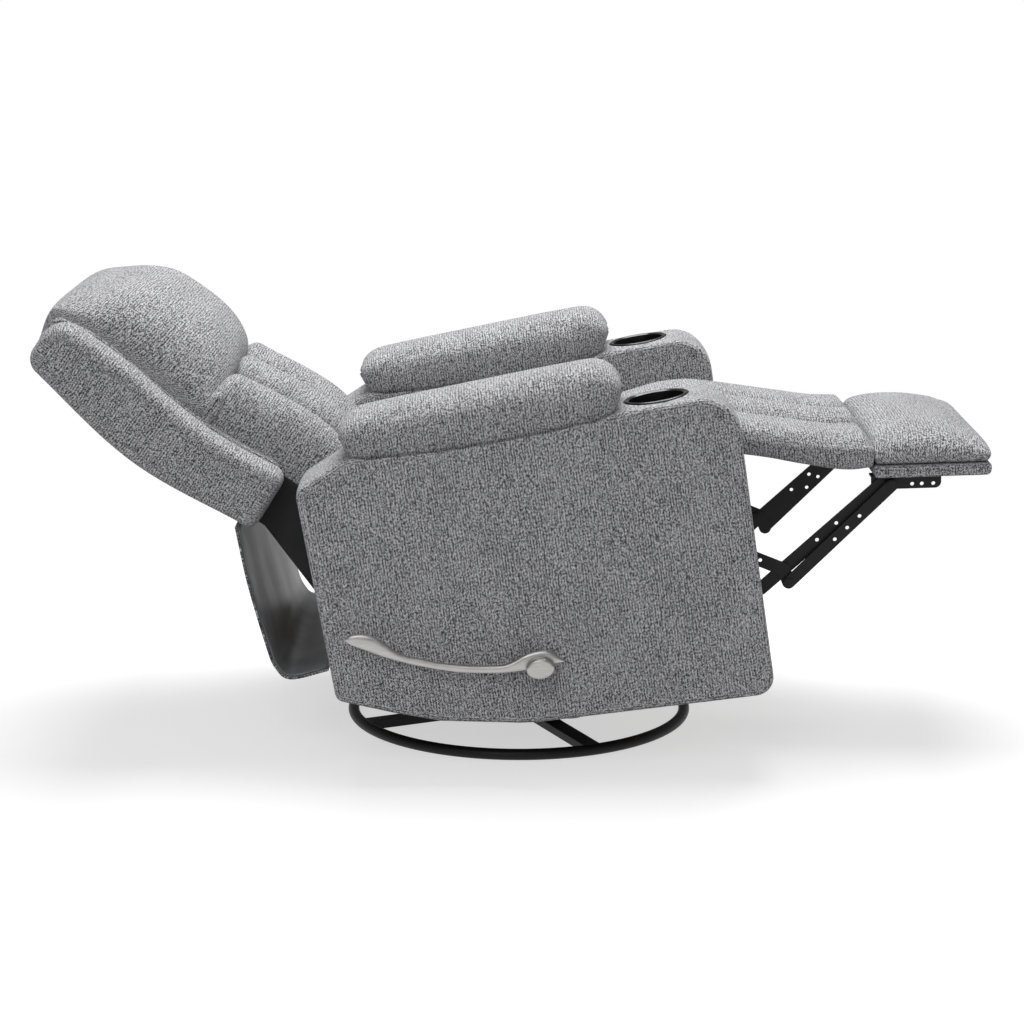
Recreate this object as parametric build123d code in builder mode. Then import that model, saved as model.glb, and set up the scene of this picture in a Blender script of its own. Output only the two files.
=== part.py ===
from build123d import *
from math import atan2, cos, degrees, hypot, radians, sin
import os

# A swivel rocker recliner with its footrest out and its back down, in millimetres and degrees.
# The world frame has +X to the front, +Z up and its origin on the floor under the swivel.
# The chair itself is drawn level, as (forward, up), and stands rocked back by rock_back.

# Frame of the chair
rock_back = 8.5
rock_axis_height = 80.0
gap = 0.3
pivot_clearance = 0.05

# Base ring and swivel
ring_diameter = 600.0
ring_tube = 19.0
ring_flat = 0.5
cross_angle = 25.0
bar_width = 30.0
bar_height = 13.0
bar_base = 4.0
swivel_plate_radius = 90.0
plate_thickness = 5.0
bearing_outer = 75.0
bearing_inner = 48.0
bearing_height = 8.0
post_radius = 15.0
post_head_radius = 23.0
post_head_height = 5.0
top_plate_length = 220.0
top_plate_width = 310.0
stand_offset = 143.0
stand_thickness = 6.0
stand_length = 150.0
stand_eye = 22.0
shaft_radius = 10.0
shaft_nut_radius = 16.0
shaft_nut_height = 7.0
rubber_radius = 20.0
rubber_start = 20.0
rubber_end = 110.0
housing_wall = 6.0
housing_half_length = 122.0

# Widths across the chair, as distances from its middle, and the layers of the linkage from the outside in
seat_half_width = 229.0
seat_side_gap = 6.0
arm_inner = seat_half_width + seat_side_gap
arm_width = 155.0
rail_clearance = 0.5
rail_thickness = 12.5
link_thickness = 3.0
plate_room = 7.0
layer_pitch = 4.0
layer_side = arm_inner - rail_clearance - rail_thickness - link_thickness / 2
layer_upper_control = layer_side - plate_room
layer_lower = layer_upper_control - layer_pitch
layer_upper = layer_lower - layer_pitch
layer_bracket = layer_upper - layer_pitch
post_width = 22.0
post_outer = layer_upper_control - link_thickness / 2
post_inner = post_outer - post_width
wing_setout = 10.0
wing_inner = arm_inner + wing_setout
wing_width = 77.0

# Seat length, and what stands behind the seat at a distance along the chair
seat_front = (325.0, 448.0)
seat_length = 510.0
recline_setback = 37.0
recline_pivot = (seat_front[0] - seat_length - recline_setback, 372.0)
back_setback = 95.0
back_corner = (recline_pivot[0] - back_setback, 536.0)
arm_rear_setback = 69.0
arm_rear = recline_pivot[0] - arm_rear_setback
arm_shoulder_run = 83.0
arm_shoulder = arm_rear + arm_shoulder_run
pad_overhang = 8.0
pad_rear = arm_shoulder - pad_overhang
rear_rail_setback = 8.0
rear_rail_back = arm_rear + rear_rail_setback

# Cradle and rails under the seat
cradle_length = 220.0
cradle_drop = 6.0
cradle_thickness = 6.0
cheek_offset = 100.0
cheek_thickness = 6.0
cheek_eye = 36.0
base_rail_rear = -140.0
base_rail_front = 285.0
base_rail_height = 30.0
stretcher_front = 300.0
stretcher_depth = 65.0
stretcher_base = 88.0
stretcher_height = 14.0
rear_rail_depth = 20.0
rear_rail_base = 195.0
rear_rail_height = 60.0

# Arms, pads and cup holders
arm_front = 418.0
arm_front_base = 79.0
arm_bend = 30.0
arm_bend_base = 88.0
arm_rear_base = 172.0
arm_rear_top = 522.0
arm_shoulder_top = 562.0
arm_front_top = 576.0
arm_nose_radius = 62.0
arm_toe_radius = 30.0
arm_heel_radius = 22.0
arm_edge_radius = 12.0
pad_front = 237.0
pad_width = 150.0
pad_height = 78.0
cup_forward = 295.0
cup_radius = 47.0
cup_floor_radius = 41.0
cup_depth = 70.0
cup_wall = 2.5
cup_rim_radius = 54.0
cup_rim_height = 4.0

# Release lever
lever_forward = 50.0
lever_up = 190.0
lever_standoff = 28.0
lever_length = 292.0
lever_rise = 94.0
lever_thickness = 12.0
lever_hub_long = 46.0
lever_hub_short = 34.0
lever_cap_height = 15.0
release_shaft_radius = 7.0
bush_radius = 11.0
bush_flange_radius = 17.0
bush_flange_height = 5.0
cam_reach = 34.0
cam_width = 26.0

# Linkage and its pivots as (forward, up)
link_width = 22.0
pin_radius = 5.0
pin_head_radius = 8.0
pin_head_height = 2.0
link_hole_radius = 3.2
main_pivot = (285.0, 345.0)
control_pivot = (247.4, 344.3)
knee_pivot = (468.4, 237.5)
knee_control = (473.6, 214.7)
board_pivot = (643.7, 354.9)
board_control = (662.0, 353.0)
upper_tail = 50.0
torque_tube_share = 0.4
torque_tube_radius = 11.0
side_plate_hole = 26.0

# Seat and chaise
seat_slope = 4.0
seat_rail_height = 58.0
cross_rail_depth = 22.0
webbing_count = 5
webbing_width = 50.0
webbing_thickness = 2.5
seat_seam = 78.0
seat_cushion_setback = 20.0
seat_stations = (seat_cushion_setback - seat_length, -260.0, -60.0, 10.0, 78.0)
seat_crests = (46.0, 57.0, 66.0, 72.0, 58.0)
channel_depth = 16.0
channel_edge_drop = 24.0
chaise_hinge = (403.0, 499.0)
chaise_slope = -15.9
chaise_length = 247.0
chaise_depth = 46.0
chaise_crests = (10.0, 12.0, 7.0, -4.0)
chaise_tips = (0.0, 0.0, 2.0, 8.0)
chaise_bead = 5.0
fold_clearance = 20.0
fold_room = 60.0
chaise_setback = 2.0
chaise_room = 40.0
fold_seat_angle = 43.0
fold_chaise_angle = 50.0

# Footrest
board_origin = (640.0, 391.0)
board_slope = -6.65
board_length = 190.0
board_rear = -3.0
board_thickness = 20.0
board_inset = 3.0
board_edge_radius = 9.0
foot_crown = 62.0
foot_round = 7.0
foot_roll = 24.0
foot_crest_back = 120.0
foot_rear = -5.0
foot_tip = 189.0
bracket_front = 110.0
bracket_height = 23.0
bracket_flange = 25.0

# Back, in its own frame: along the back upwards, and out of its front
back_slope = 43.56
recline_pin_radius = 8.0
recline_head_radius = 11.0
back_bracket_width = 36.0
back_bracket_bend = -140.0
back_bracket_top = -40.0
post_foot = -205.0
post_top = 345.0
frame_front = -65.0
frame_depth = 25.0
back_rail_height = 25.0
back_rail_depth = 6.7
back_rails = (310.0, 150.0, 20.0)
wing_length = 440.0
wing_rear_foot = 101.0
wing_rear_mid = 119.5
wing_rear_top = 80.0
wing_edge_radius = 12.0
panel_clearance = 0.5
panel_rear = 114.0
panel_flat = 60.0
panel_front = 97.0
panel_lip = 452.0
pillow_clearance = 3.0
pillow_foot = 157.0
pillow_top = 462.0
pillow_crown = 118.0
lumbar_clearance = 15.0
lumbar_half_width = wing_inner - lumbar_clearance
lumbar_foot = -98.0
lumbar_top = 149.0
lumbar_stations = (lumbar_foot, -60.0, 40.0, 110.0, lumbar_top)
lumbar_crests = (50.0, 77.0, 84.0, 74.0, 50.0)
lumbar_channel_depth = 22.0
lumbar_edge_drop = 42.0
cloth_length = 165.0
cloth_thickness = 4.0

# Rear flap
flap_overlap = 40.0
flap_drop = 271.0
flap_lip = 64.0
flap_skin = 4.0
flap_liner = 3.0
flap_bead = 4.0
flap_hinge_along = 17.0

os.makedirs("parts", exist_ok=True)
SIDES = (-1, 1)


def spot(forward, up, y=0.0):
    """World place of a point of the chair given level: turned back about the rock axis."""
    a = radians(rock_back)
    rise = up - rock_axis_height
    return Vector(
        forward * cos(a) - rise * sin(a), y, rock_axis_height + forward * sin(a) + rise * cos(a)
    )


def side(y, at=(0.0, 0.0), slope=0.0):
    """Plane across the chair at y: local x runs forward, raised by slope, and local y runs up."""
    a = radians(rock_back + slope)
    return Plane(origin=spot(*at, y), x_dir=(cos(a), 0, sin(a)), z_dir=(0, -1, 0))


def across(at, slope, distance=0.0, y=0.0):
    """Plane square to a direction raised by slope, a distance along it: local x is Y, local y is up."""
    a = radians(rock_back + slope)
    along = Vector(cos(a), 0, sin(a))
    return Plane(origin=spot(*at, y) + along * distance, x_dir=(0, 1, 0), z_dir=along)


def deck(y, at, slope):
    """Plane that lies on a surface raised by slope, at a point of it: its normal points up."""
    a = radians(rock_back + slope)
    return Plane(origin=spot(*at, y), x_dir=(cos(a), 0, sin(a)), z_dir=(-sin(a), 0, cos(a)))


def back(y):
    """Plane along the back at y: local x runs up the back and local y out of its front."""
    a = radians(180.0 - back_slope + rock_back)
    return Plane(origin=spot(*back_corner, y), x_dir=(cos(a), 0, sin(a)), z_dir=(0, 1, 0))


def back_across(distance):
    """Plane square to the back, a distance up it: local y points out of its front."""
    a = radians(180.0 - back_slope + rock_back)
    along = Vector(cos(a), 0, sin(a))
    return Plane(origin=spot(*back_corner) + along * distance, x_dir=(0, -1, 0), z_dir=along)


def back_spot(along, front):
    """Level (forward, up) place of a point of the back."""
    a = radians(180.0 - back_slope)
    return (
        back_corner[0] + along * cos(a) + front * sin(a),
        back_corner[1] + along * sin(a) - front * cos(a),
    )


def on_back(point):
    """Place in the back's own frame of a level (forward, up) point."""
    a = radians(180.0 - back_slope)
    x = point[0] - back_corner[0]
    z = point[1] - back_corner[1]
    return (x * cos(a) + z * sin(a), x * sin(a) - z * cos(a))


def on_board(point):
    """Place in the footrest board's own frame of a level (forward, up) point."""
    a = radians(board_slope)
    x = point[0] - board_origin[0]
    z = point[1] - board_origin[1]
    return (x * cos(a) + z * sin(a), -x * sin(a) + z * cos(a))


def between(a, b, share):
    """Point at a share of the way from a to b."""
    return (a[0] + (b[0] - a[0]) * share, a[1] + (b[1] - a[1]) * share)


def bar(a, b, width):
    """Round-ended bar from a to b, drawn in the sketch that is open."""
    length = hypot(b[0] - a[0], b[1] - a[1])
    turn = degrees(atan2(b[1] - a[1], b[0] - a[0]))
    with Locations(between(a, b, 0.5)):
        SlotCenterToCenter(length, width, rotation=turn)


def holes(points, radius):
    """Round holes in the sketch that is open."""
    with Locations(*points):
        Circle(radius, mode=Mode.SUBTRACT)


def pin(point, inner, outer, radius, y_sign):
    """Round pin across the chair from |y| inner to outer, in the part that is open."""
    with BuildSketch(side(y_sign * (inner + outer) / 2)) as section:
        with Locations(point):
            Circle(radius)
    extrude(section.sketch, amount=(outer - inner) / 2, both=True)


def layer(middle):
    """Inner and outer |y| of a link layer."""
    return middle - link_thickness / 2, middle + link_thickness / 2


def channels(half_width, base, crest, depth, drop):
    """Section of a channelled cushion: three crowned lobes over a flat base, with full sides."""
    seam = seat_seam
    valley = crest - depth
    edge = crest - drop
    outer = (seam + half_width) / 2
    shoulder = half_width - 4.0
    foot = half_width - 7.0
    with BuildLine() as outline:
        Line((-foot, base), (foot, base))
        ThreePointArc((foot, base), (half_width, (base + edge) / 2), (shoulder, edge))
        ThreePointArc((shoulder, edge), (outer, crest), (seam, valley))
        ThreePointArc((seam, valley), (0, crest), (-seam, valley))
        ThreePointArc((-seam, valley), (-outer, crest), (-shoulder, edge))
        ThreePointArc((-shoulder, edge), (-half_width, (base + edge) / 2), (-foot, base))
    make_face(outline.edges())


def save(piece, name):
    """Name a finished piece and write it."""
    piece.part.label = name
    export_step(piece.part, f"parts/{name}.step")


# Base ring: a round tube bent to a ring, pressed a little flat where it stands
ring_radius = (ring_diameter - ring_tube) / 2
ring_height = ring_tube / 2 - ring_flat
with BuildPart() as base_ring:
    with BuildSketch(Plane.XZ):
        with Locations((ring_radius, ring_height)):
            Circle(ring_tube / 2)
        with Locations((ring_radius, 0)):
            Rectangle(ring_tube, ring_tube, align=(Align.CENTER, Align.MAX), mode=Mode.SUBTRACT)
    revolve(axis=Axis.Z)
save(base_ring, "base_ring")

# Cross bars: two flat bars that meet the ring in coped ends
bar_top = bar_base + bar_height
with BuildPart() as base_crossbars:
    with BuildSketch(Plane.XY.offset(bar_base)):
        for turn in (cross_angle, cross_angle + 90):
            Rectangle(2 * ring_radius, bar_width, rotation=turn)
    extrude(amount=bar_height)
    with Locations((0, 0, ring_height)):
        Torus(ring_radius, ring_tube / 2, mode=Mode.SUBTRACT)
save(base_crossbars, "base_crossbars")

# Swivel: lower plate on the bars, bearing ring, and the post that the turning plate hangs on
lower_plate_top = bar_top + plate_thickness
with BuildPart() as swivel_lower_plate:
    with BuildSketch(Plane.XY.offset(bar_top)):
        Circle(swivel_plate_radius)
    extrude(amount=plate_thickness)
    chamfer(swivel_lower_plate.edges().group_by(Axis.Z)[-1], 1.5)
save(swivel_lower_plate, "swivel_lower_plate")

bearing_top = lower_plate_top + bearing_height
with BuildPart() as swivel_bearing:
    with BuildSketch(Plane.XY.offset(lower_plate_top)):
        Circle(bearing_outer)
        Circle(bearing_inner, mode=Mode.SUBTRACT)
    extrude(amount=bearing_height)
    with Locations((0, 0, lower_plate_top + bearing_height / 2)):
        Torus(bearing_outer, bearing_height / 5, mode=Mode.SUBTRACT)
save(swivel_bearing, "swivel_bearing")

top_plate_base = bearing_top + gap
top_plate_top = top_plate_base + plate_thickness
with BuildPart() as swivel_post:
    with BuildSketch(Plane.XY.offset(lower_plate_top)):
        Circle(post_radius)
    extrude(amount=top_plate_top + gap - lower_plate_top)
    with BuildSketch(Plane.XY.offset(top_plate_top + gap)):
        RegularPolygon(post_head_radius, 6)
    extrude(amount=post_head_height)
save(swivel_post, "swivel_post")

with BuildPart() as swivel_top_plate:
    with BuildSketch(Plane.XY.offset(top_plate_base)):
        RectangleRounded(top_plate_length, top_plate_width, 24)
        Circle(post_radius + pivot_clearance, mode=Mode.SUBTRACT)
    extrude(amount=plate_thickness)
save(swivel_top_plate, "swivel_top_plate")

# Rock stands: two upright ears on the turning plate that hold the rock shaft
for sign, name in zip(SIDES, ("rock_stand_right", "rock_stand_left")):
    rise = rock_axis_height - top_plate_top
    with BuildPart() as rock_stand:
        with BuildSketch(Plane.XZ.offset(-sign * stand_offset)):
            with BuildLine():
                Polyline(
                    (-stand_length / 2, top_plate_top),
                    (stand_length / 2, top_plate_top),
                    (stand_length / 2, top_plate_top + rise / 4),
                    (stand_eye, rock_axis_height),
                    (-stand_eye, rock_axis_height),
                    (-stand_length / 2, top_plate_top + rise / 4),
                    close=True,
                )
            make_face()
            with Locations((0, rock_axis_height)):
                Circle(stand_eye)
                Circle(shaft_radius + pivot_clearance, mode=Mode.SUBTRACT)
        extrude(amount=stand_thickness / 2, both=True)
    save(rock_stand, name)

# Rock shaft with its nuts, the rubber sleeves that spring the rocking, and their housing
stand_outer = stand_offset + stand_thickness / 2
with BuildPart() as rock_shaft:
    with BuildSketch(Plane.XZ):
        with Locations((0, rock_axis_height)):
            Circle(shaft_radius)
    extrude(amount=stand_outer + gap, both=True)
    for sign in SIDES:
        with BuildSketch(Plane.XZ.offset(-sign * (stand_outer + gap + shaft_nut_height / 2))):
            with Locations((0, rock_axis_height)):
                RegularPolygon(shaft_nut_radius, 6)
        extrude(amount=shaft_nut_height / 2, both=True)
save(rock_shaft, "rock_shaft")

with BuildPart() as rock_rubbers:
    for sign in SIDES:
        with BuildSketch(Plane.XZ.offset(-sign * (rubber_start + rubber_end) / 2)):
            with Locations((0, rock_axis_height)):
                Circle(rubber_radius)
                Circle(shaft_radius + pivot_clearance, mode=Mode.SUBTRACT)
        extrude(amount=(rubber_end - rubber_start) / 2, both=True)
save(rock_rubbers, "rock_rubbers")

housing_inner = rubber_radius + pivot_clearance
housing_outer = housing_inner + housing_wall
with BuildPart() as rock_housing:
    with BuildSketch(side(0)):
        with Locations((0, rock_axis_height)):
            Circle(housing_outer)
            Circle(housing_inner, mode=Mode.SUBTRACT)
    extrude(amount=housing_half_length, both=True)
save(rock_housing, "rock_housing")

# Rock cradle: a pressed plate whose two cheeks hold the housing and whose ends carry the rails
cradle_base = rock_axis_height + housing_outer + cradle_drop
rail_base = cradle_base + cradle_thickness
rail_outer = arm_inner - rail_clearance
rail_middle = rail_outer - rail_thickness / 2
with BuildPart() as rock_cradle:
    with BuildSketch(side(0)):
        with Locations((0, cradle_base + cradle_thickness / 2)):
            Rectangle(cradle_length, cradle_thickness)
    extrude(amount=rail_outer, both=True)
    for sign in SIDES:
        with BuildSketch(side(sign * cheek_offset)):
            with BuildLine():
                Polyline(
                    (-cradle_length / 2 + cheek_eye / 2, cradle_base),
                    (cradle_length / 2 - cheek_eye / 2, cradle_base),
                    (cheek_eye, rock_axis_height),
                    (-cheek_eye, rock_axis_height),
                    close=True,
                )
            make_face()
            with Locations((0, rock_axis_height)):
                Circle(cheek_eye)
                Circle(housing_outer, mode=Mode.SUBTRACT)
        extrude(amount=cheek_thickness / 2, both=True)
save(rock_cradle, "rock_cradle")

for sign, name in zip(SIDES, ("base_rail_right", "base_rail_left")):
    with BuildPart() as base_rail:
        with BuildSketch(side(sign * rail_middle)):
            with Locations(((base_rail_rear + base_rail_front) / 2, rail_base + base_rail_height / 2)):
                Rectangle(base_rail_front - base_rail_rear, base_rail_height)
        extrude(amount=rail_thickness / 2, both=True)
    save(base_rail, name)

# Wooden stretchers between the arms
with BuildPart() as front_stretcher:
    with BuildSketch(side(0)):
        with Locations((stretcher_front, stretcher_base)):
            Rectangle(stretcher_depth, stretcher_height, align=(Align.MAX, Align.MIN))
    extrude(amount=arm_inner, both=True)
save(front_stretcher, "front_stretcher")

with BuildPart() as rear_rail:
    with BuildSketch(side(0)):
        with Locations((rear_rail_back, rear_rail_base)):
            Rectangle(rear_rail_depth, rear_rail_height, align=(Align.MIN, Align.MIN))
    extrude(amount=arm_inner, both=True)
save(rear_rail, "rear_rail")

# Arms: upholstered boxes with a rounded nose, a rising heel, a cup pocket and the lever's hole
arm_middle = arm_inner + arm_width / 2
arm_run = arm_front - arm_shoulder
arm_slope = degrees(atan2(arm_front_top - arm_shoulder_top, arm_run))


def arm_top(forward):
    """Height of the arm's sloping top at a place along it."""
    return arm_shoulder_top + (arm_front_top - arm_shoulder_top) * (forward - arm_shoulder) / arm_run


cup_seat = (cup_forward, arm_top(cup_forward))
for sign, name in zip(SIDES, ("arm_right", "arm_left")):
    with BuildPart() as arm:
        with BuildSketch(side(sign * arm_middle)) as outline:
            with BuildLine():
                Polyline(
                    (arm_bend, arm_bend_base),
                    (arm_front, arm_front_base),
                    (arm_front, arm_front_top),
                    (arm_shoulder, arm_shoulder_top),
                    (arm_rear, arm_rear_top),
                    (arm_rear, arm_rear_base),
                )
                TangentArc(
                    (arm_bend, arm_bend_base),
                    (arm_rear, arm_rear_base),
                    tangent=(arm_bend - arm_front, arm_bend_base - arm_front_base),
                )
            make_face()
            for corner, radius in (
                ((arm_front, arm_front_top), arm_nose_radius),
                ((arm_front, arm_front_base), arm_toe_radius),
                ((arm_rear, arm_rear_base), arm_heel_radius),
                ((arm_rear, arm_rear_top), arm_heel_radius),
                ((arm_shoulder, arm_shoulder_top), arm_heel_radius),
            ):
                fillet(outline.vertices().sort_by_distance(corner)[0], radius)
        extrude(amount=arm_width / 2, both=True)
        outer_face = arm.faces().sort_by(Axis.Y)[0 if sign < 0 else -1]
        fillet(outer_face.edges(), arm_edge_radius)
        with BuildSketch(deck(sign * arm_middle, cup_seat, arm_slope)):
            Circle(cup_radius + gap)
        extrude(amount=cup_depth + gap, both=True, mode=Mode.SUBTRACT)
        if sign < 0:
            with BuildSketch(side(-arm_middle)):
                with Locations((lever_forward, lever_up)):
                    Circle(bush_radius + pivot_clearance)
            extrude(amount=arm_width, both=True, mode=Mode.SUBTRACT)
    save(arm, name)

# Arm pads: crowned bolsters sewn along the arm tops, drawn in at both ends
for sign, name in zip(SIDES, ("arm_pad_right", "arm_pad_left")):
    with BuildPart() as arm_pad:
        length = pad_front - pad_rear
        for share, height, width in (
            (0.0, 0.50, 0.86),
            (0.06, 0.86, 0.97),
            (0.5, 0.96, 1.0),
            (0.93, 1.0, 0.98),
            (1.0, 0.56, 0.86),
        ):
            forward = pad_rear + share * length
            half = pad_width * width / 2
            top = pad_height * height
            with BuildSketch(across((forward, arm_top(forward)), arm_slope, y=sign * arm_middle)):
                with BuildLine():
                    Line((-half + 5, gap), (half - 5, gap))
                    ThreePointArc((half - 5, gap), (half, top * 0.42), (half - 16, top * 0.82))
                    ThreePointArc((half - 16, top * 0.82), (0, top), (16 - half, top * 0.82))
                    ThreePointArc((16 - half, top * 0.82), (-half, top * 0.42), (5 - half, gap))
                make_face()
        loft()
    save(arm_pad, name)

# Cup holders: turned cups with a rolled rim that rests on the arm
for sign, name in zip(SIDES, ("cup_holder_right", "cup_holder_left")):
    plane = side(sign * arm_middle, cup_seat, arm_slope)
    with BuildPart() as cup_holder:
        with BuildSketch(plane):
            with BuildLine():
                Polyline(
                    (0, -cup_depth + gap),
                    (cup_floor_radius, -cup_depth + gap),
                    (cup_radius, gap),
                    (cup_rim_radius, gap),
                )
                ThreePointArc(
                    (cup_rim_radius, gap),
                    (cup_rim_radius - 2, cup_rim_height - 0.6),
                    (cup_rim_radius - 6, cup_rim_height),
                )
                Polyline(
                    (cup_rim_radius - 6, cup_rim_height),
                    (cup_radius - cup_wall, cup_rim_height - 2),
                    (cup_floor_radius - cup_wall, cup_wall - cup_depth + gap),
                    (0, cup_wall - cup_depth + gap),
                    (0, -cup_depth + gap),
                )
            make_face()
        revolve(axis=Axis(plane.origin, plane.y_dir))
    save(cup_holder, name)

# Side plates: pressed plates that carry the seat, the linkage and the back
for sign, name in zip(SIDES, ("side_plate_right", "side_plate_left")):
    with BuildPart() as side_plate:
        with BuildSketch(side(sign * layer_side)) as plate_outline:
            with BuildLine():
                Polyline(
                    (base_rail_rear, rail_base),
                    (base_rail_front, rail_base),
                    (base_rail_front, rail_base + base_rail_height),
                    (main_pivot[0] - 40, rail_base + 2 * base_rail_height),
                    (main_pivot[0] + 20, main_pivot[1] - 20),
                    (main_pivot[0] + 20, seat_front[1] - 20),
                    (recline_pivot[0], recline_pivot[1] + 30),
                    (recline_pivot[0] - 25, recline_pivot[1]),
                    (recline_pivot[0], recline_pivot[1] - 28),
                    (base_rail_rear, rail_base + 2 * base_rail_height),
                    close=True,
                )
            make_face()
            fillet(plate_outline.vertices(), 8)
            holes([main_pivot, control_pivot], pin_radius + pivot_clearance)
            holes([recline_pivot], recline_pin_radius + pivot_clearance)
            holes([(lever_forward, lever_up)], release_shaft_radius + pivot_clearance)
            holes([(-90, 330), (0, 330), (90, 330), (160, 260), (140, 190)], side_plate_hole)
            holes([(-60, 240), (60, 260)], side_plate_hole)
        extrude(amount=link_thickness / 2, both=True)
    save(side_plate, name)

# Seat: wooden rails, elastic webbing across them and the channelled cushion
rail_top = -webbing_thickness
with BuildPart() as seat_side_rails:
    for sign in SIDES:
        with BuildSketch(side(sign * rail_middle, seat_front, seat_slope)):
            with Locations((0, rail_top)):
                Rectangle(seat_length, seat_rail_height, align=(Align.MAX, Align.MAX))
        extrude(amount=rail_thickness / 2, both=True)
save(seat_side_rails, "seat_side_rails")

rail_inner = rail_outer - rail_thickness
with BuildPart() as seat_cross_rails:
    for start in (-cross_rail_depth, -seat_length):
        with BuildSketch(side(0, seat_front, seat_slope)):
            with Locations((start, rail_top)):
                Rectangle(cross_rail_depth, seat_rail_height, align=(Align.MIN, Align.MAX))
        extrude(amount=layer(layer_side)[0], both=True)
save(seat_cross_rails, "seat_cross_rails")

webbing_pitch = 2 * rail_inner / webbing_count
with BuildPart() as seat_webbing:
    for step in range(webbing_count):
        y = (step - (webbing_count - 1) / 2) * webbing_pitch
        with BuildSketch(side(y, seat_front, seat_slope)):
            with Locations((0, rail_top)):
                Rectangle(seat_length, webbing_thickness, align=(Align.MAX, Align.MIN))
        extrude(amount=webbing_width / 2, both=True)
save(seat_webbing, "seat_webbing")

# The seat and the chaise meet in a notch that opens downwards, so that the chaise folds down.
# The chaise's rear edge is a rolled seam on the fold, close to the seat's end.
fold_depth = chaise_hinge[1] - seat_front[1] + fold_clearance
fold_seat = fold_depth * sin(radians(fold_seat_angle)) / cos(radians(fold_seat_angle))
seat_end = chaise_hinge[0] - chaise_bead - gap
with BuildPart() as seat_cushion:
    for along, crest in zip(seat_stations, seat_crests):
        with BuildSketch(across(seat_front, seat_slope, along)):
            channels(seat_half_width, gap, crest, channel_depth, channel_edge_drop)
    loft()
    with BuildSketch(side(0)):
        with BuildLine():
            Polyline(
                (seat_end, chaise_hinge[1] + fold_room),
                (seat_end, chaise_hinge[1]),
                (seat_end - fold_seat, chaise_hinge[1] - fold_depth),
                (seat_end + fold_room, chaise_hinge[1] - fold_depth),
                (seat_end + fold_room, chaise_hinge[1] + fold_room),
                close=True,
            )
        make_face()
    extrude(amount=arm_inner, both=True, mode=Mode.SUBTRACT)
save(seat_cushion, "seat_cushion")

chaise_fold = chaise_depth * sin(radians(fold_chaise_angle)) / cos(radians(fold_chaise_angle))
with BuildPart() as chaise_pad:
    for share, crest, tip in zip((0.0, 0.5, 0.9, 1.0), chaise_crests, chaise_tips):
        with BuildSketch(across(chaise_hinge, chaise_slope, share * chaise_length)):
            channels(seat_half_width, tip - chaise_depth, crest, channel_depth - tip, channel_edge_drop - tip)
    loft()
    with BuildSketch(side(0, chaise_hinge, chaise_slope)):
        with BuildLine():
            Polyline(
                (-chaise_room, chaise_room),
                (chaise_setback, chaise_room),
                (chaise_setback, -chaise_setback),
                (chaise_setback + chaise_fold, -chaise_depth - chaise_setback),
                (chaise_setback + chaise_fold, -chaise_depth - chaise_room),
                (-chaise_room, -chaise_depth - chaise_room),
                close=True,
            )
        make_face()
    extrude(amount=arm_inner, both=True, mode=Mode.SUBTRACT)
    with BuildSketch(side(0, chaise_hinge)):
        Circle(chaise_bead)
    extrude(amount=seat_half_width - 10, both=True)
save(chaise_pad, "chaise_pad")

# Footrest linkage: each side has two lower links, two upper links and a bracket
upper_length = hypot(board_pivot[0] - knee_pivot[0], board_pivot[1] - knee_pivot[1])
tail_pivot = between(knee_pivot, board_pivot, -upper_tail / upper_length)
torque_spot = between(main_pivot, knee_pivot, torque_tube_share)
pin_hole = pin_radius + pivot_clearance
for sign, name in zip(SIDES, ("lower_link_right", "lower_link_left")):
    with BuildPart() as lower_link:
        with BuildSketch(side(sign * layer_lower)):
            bar(main_pivot, knee_pivot, link_width)
            bar(knee_pivot, knee_control, link_width)
            holes([main_pivot, knee_pivot, knee_control], pin_hole)
            holes([between(main_pivot, knee_pivot, share) for share in (0.62, 0.8)], link_hole_radius)
        extrude(amount=link_thickness / 2, both=True)
    save(lower_link, name)

for sign, name in zip(SIDES, ("upper_link_right", "upper_link_left")):
    with BuildPart() as upper_link:
        with BuildSketch(side(sign * layer_upper)):
            bar(tail_pivot, board_pivot, link_width)
            holes([knee_pivot, board_pivot], pin_hole)
            holes([between(knee_pivot, board_pivot, share) for share in (0.35, 0.55)], link_hole_radius)
        extrude(amount=link_thickness / 2, both=True)
        pin(tail_pivot, layer(layer_bracket)[1] + gap, layer(layer_upper)[0], pin_radius, sign)
    save(upper_link, name)

with BuildPart() as lower_control_links:
    for sign in SIDES:
        with BuildSketch(side(sign * layer_bracket)):
            bar(control_pivot, tail_pivot, link_width - 2)
            holes([control_pivot], pin_hole)
        extrude(amount=link_thickness / 2, both=True)
        head = layer(layer_bracket)[0]
        pin(tail_pivot, head - pin_head_height, head, pin_head_radius, sign)
save(lower_control_links, "lower_control_links")

with BuildPart() as upper_control_links:
    for sign in SIDES:
        with BuildSketch(side(sign * layer_upper_control)):
            bar(knee_control, board_control, link_width - 2)
            holes([knee_control], pin_hole)
            shares = (0.45, 0.57, 0.69)
            holes([between(knee_control, board_control, share) for share in shares], link_hole_radius)
        extrude(amount=link_thickness / 2, both=True)
        head = layer(layer_upper_control)[1]
        pin(board_control, head, head + pin_head_height, pin_head_radius, sign)
save(upper_control_links, "upper_control_links")

with BuildPart() as torque_tube:
    with BuildSketch(side(0)):
        with Locations(torque_spot):
            Circle(torque_tube_radius)
            Circle(torque_tube_radius - 2, mode=Mode.SUBTRACT)
    extrude(amount=layer(layer_lower)[0], both=True)
save(torque_tube, "torque_tube")

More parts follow.
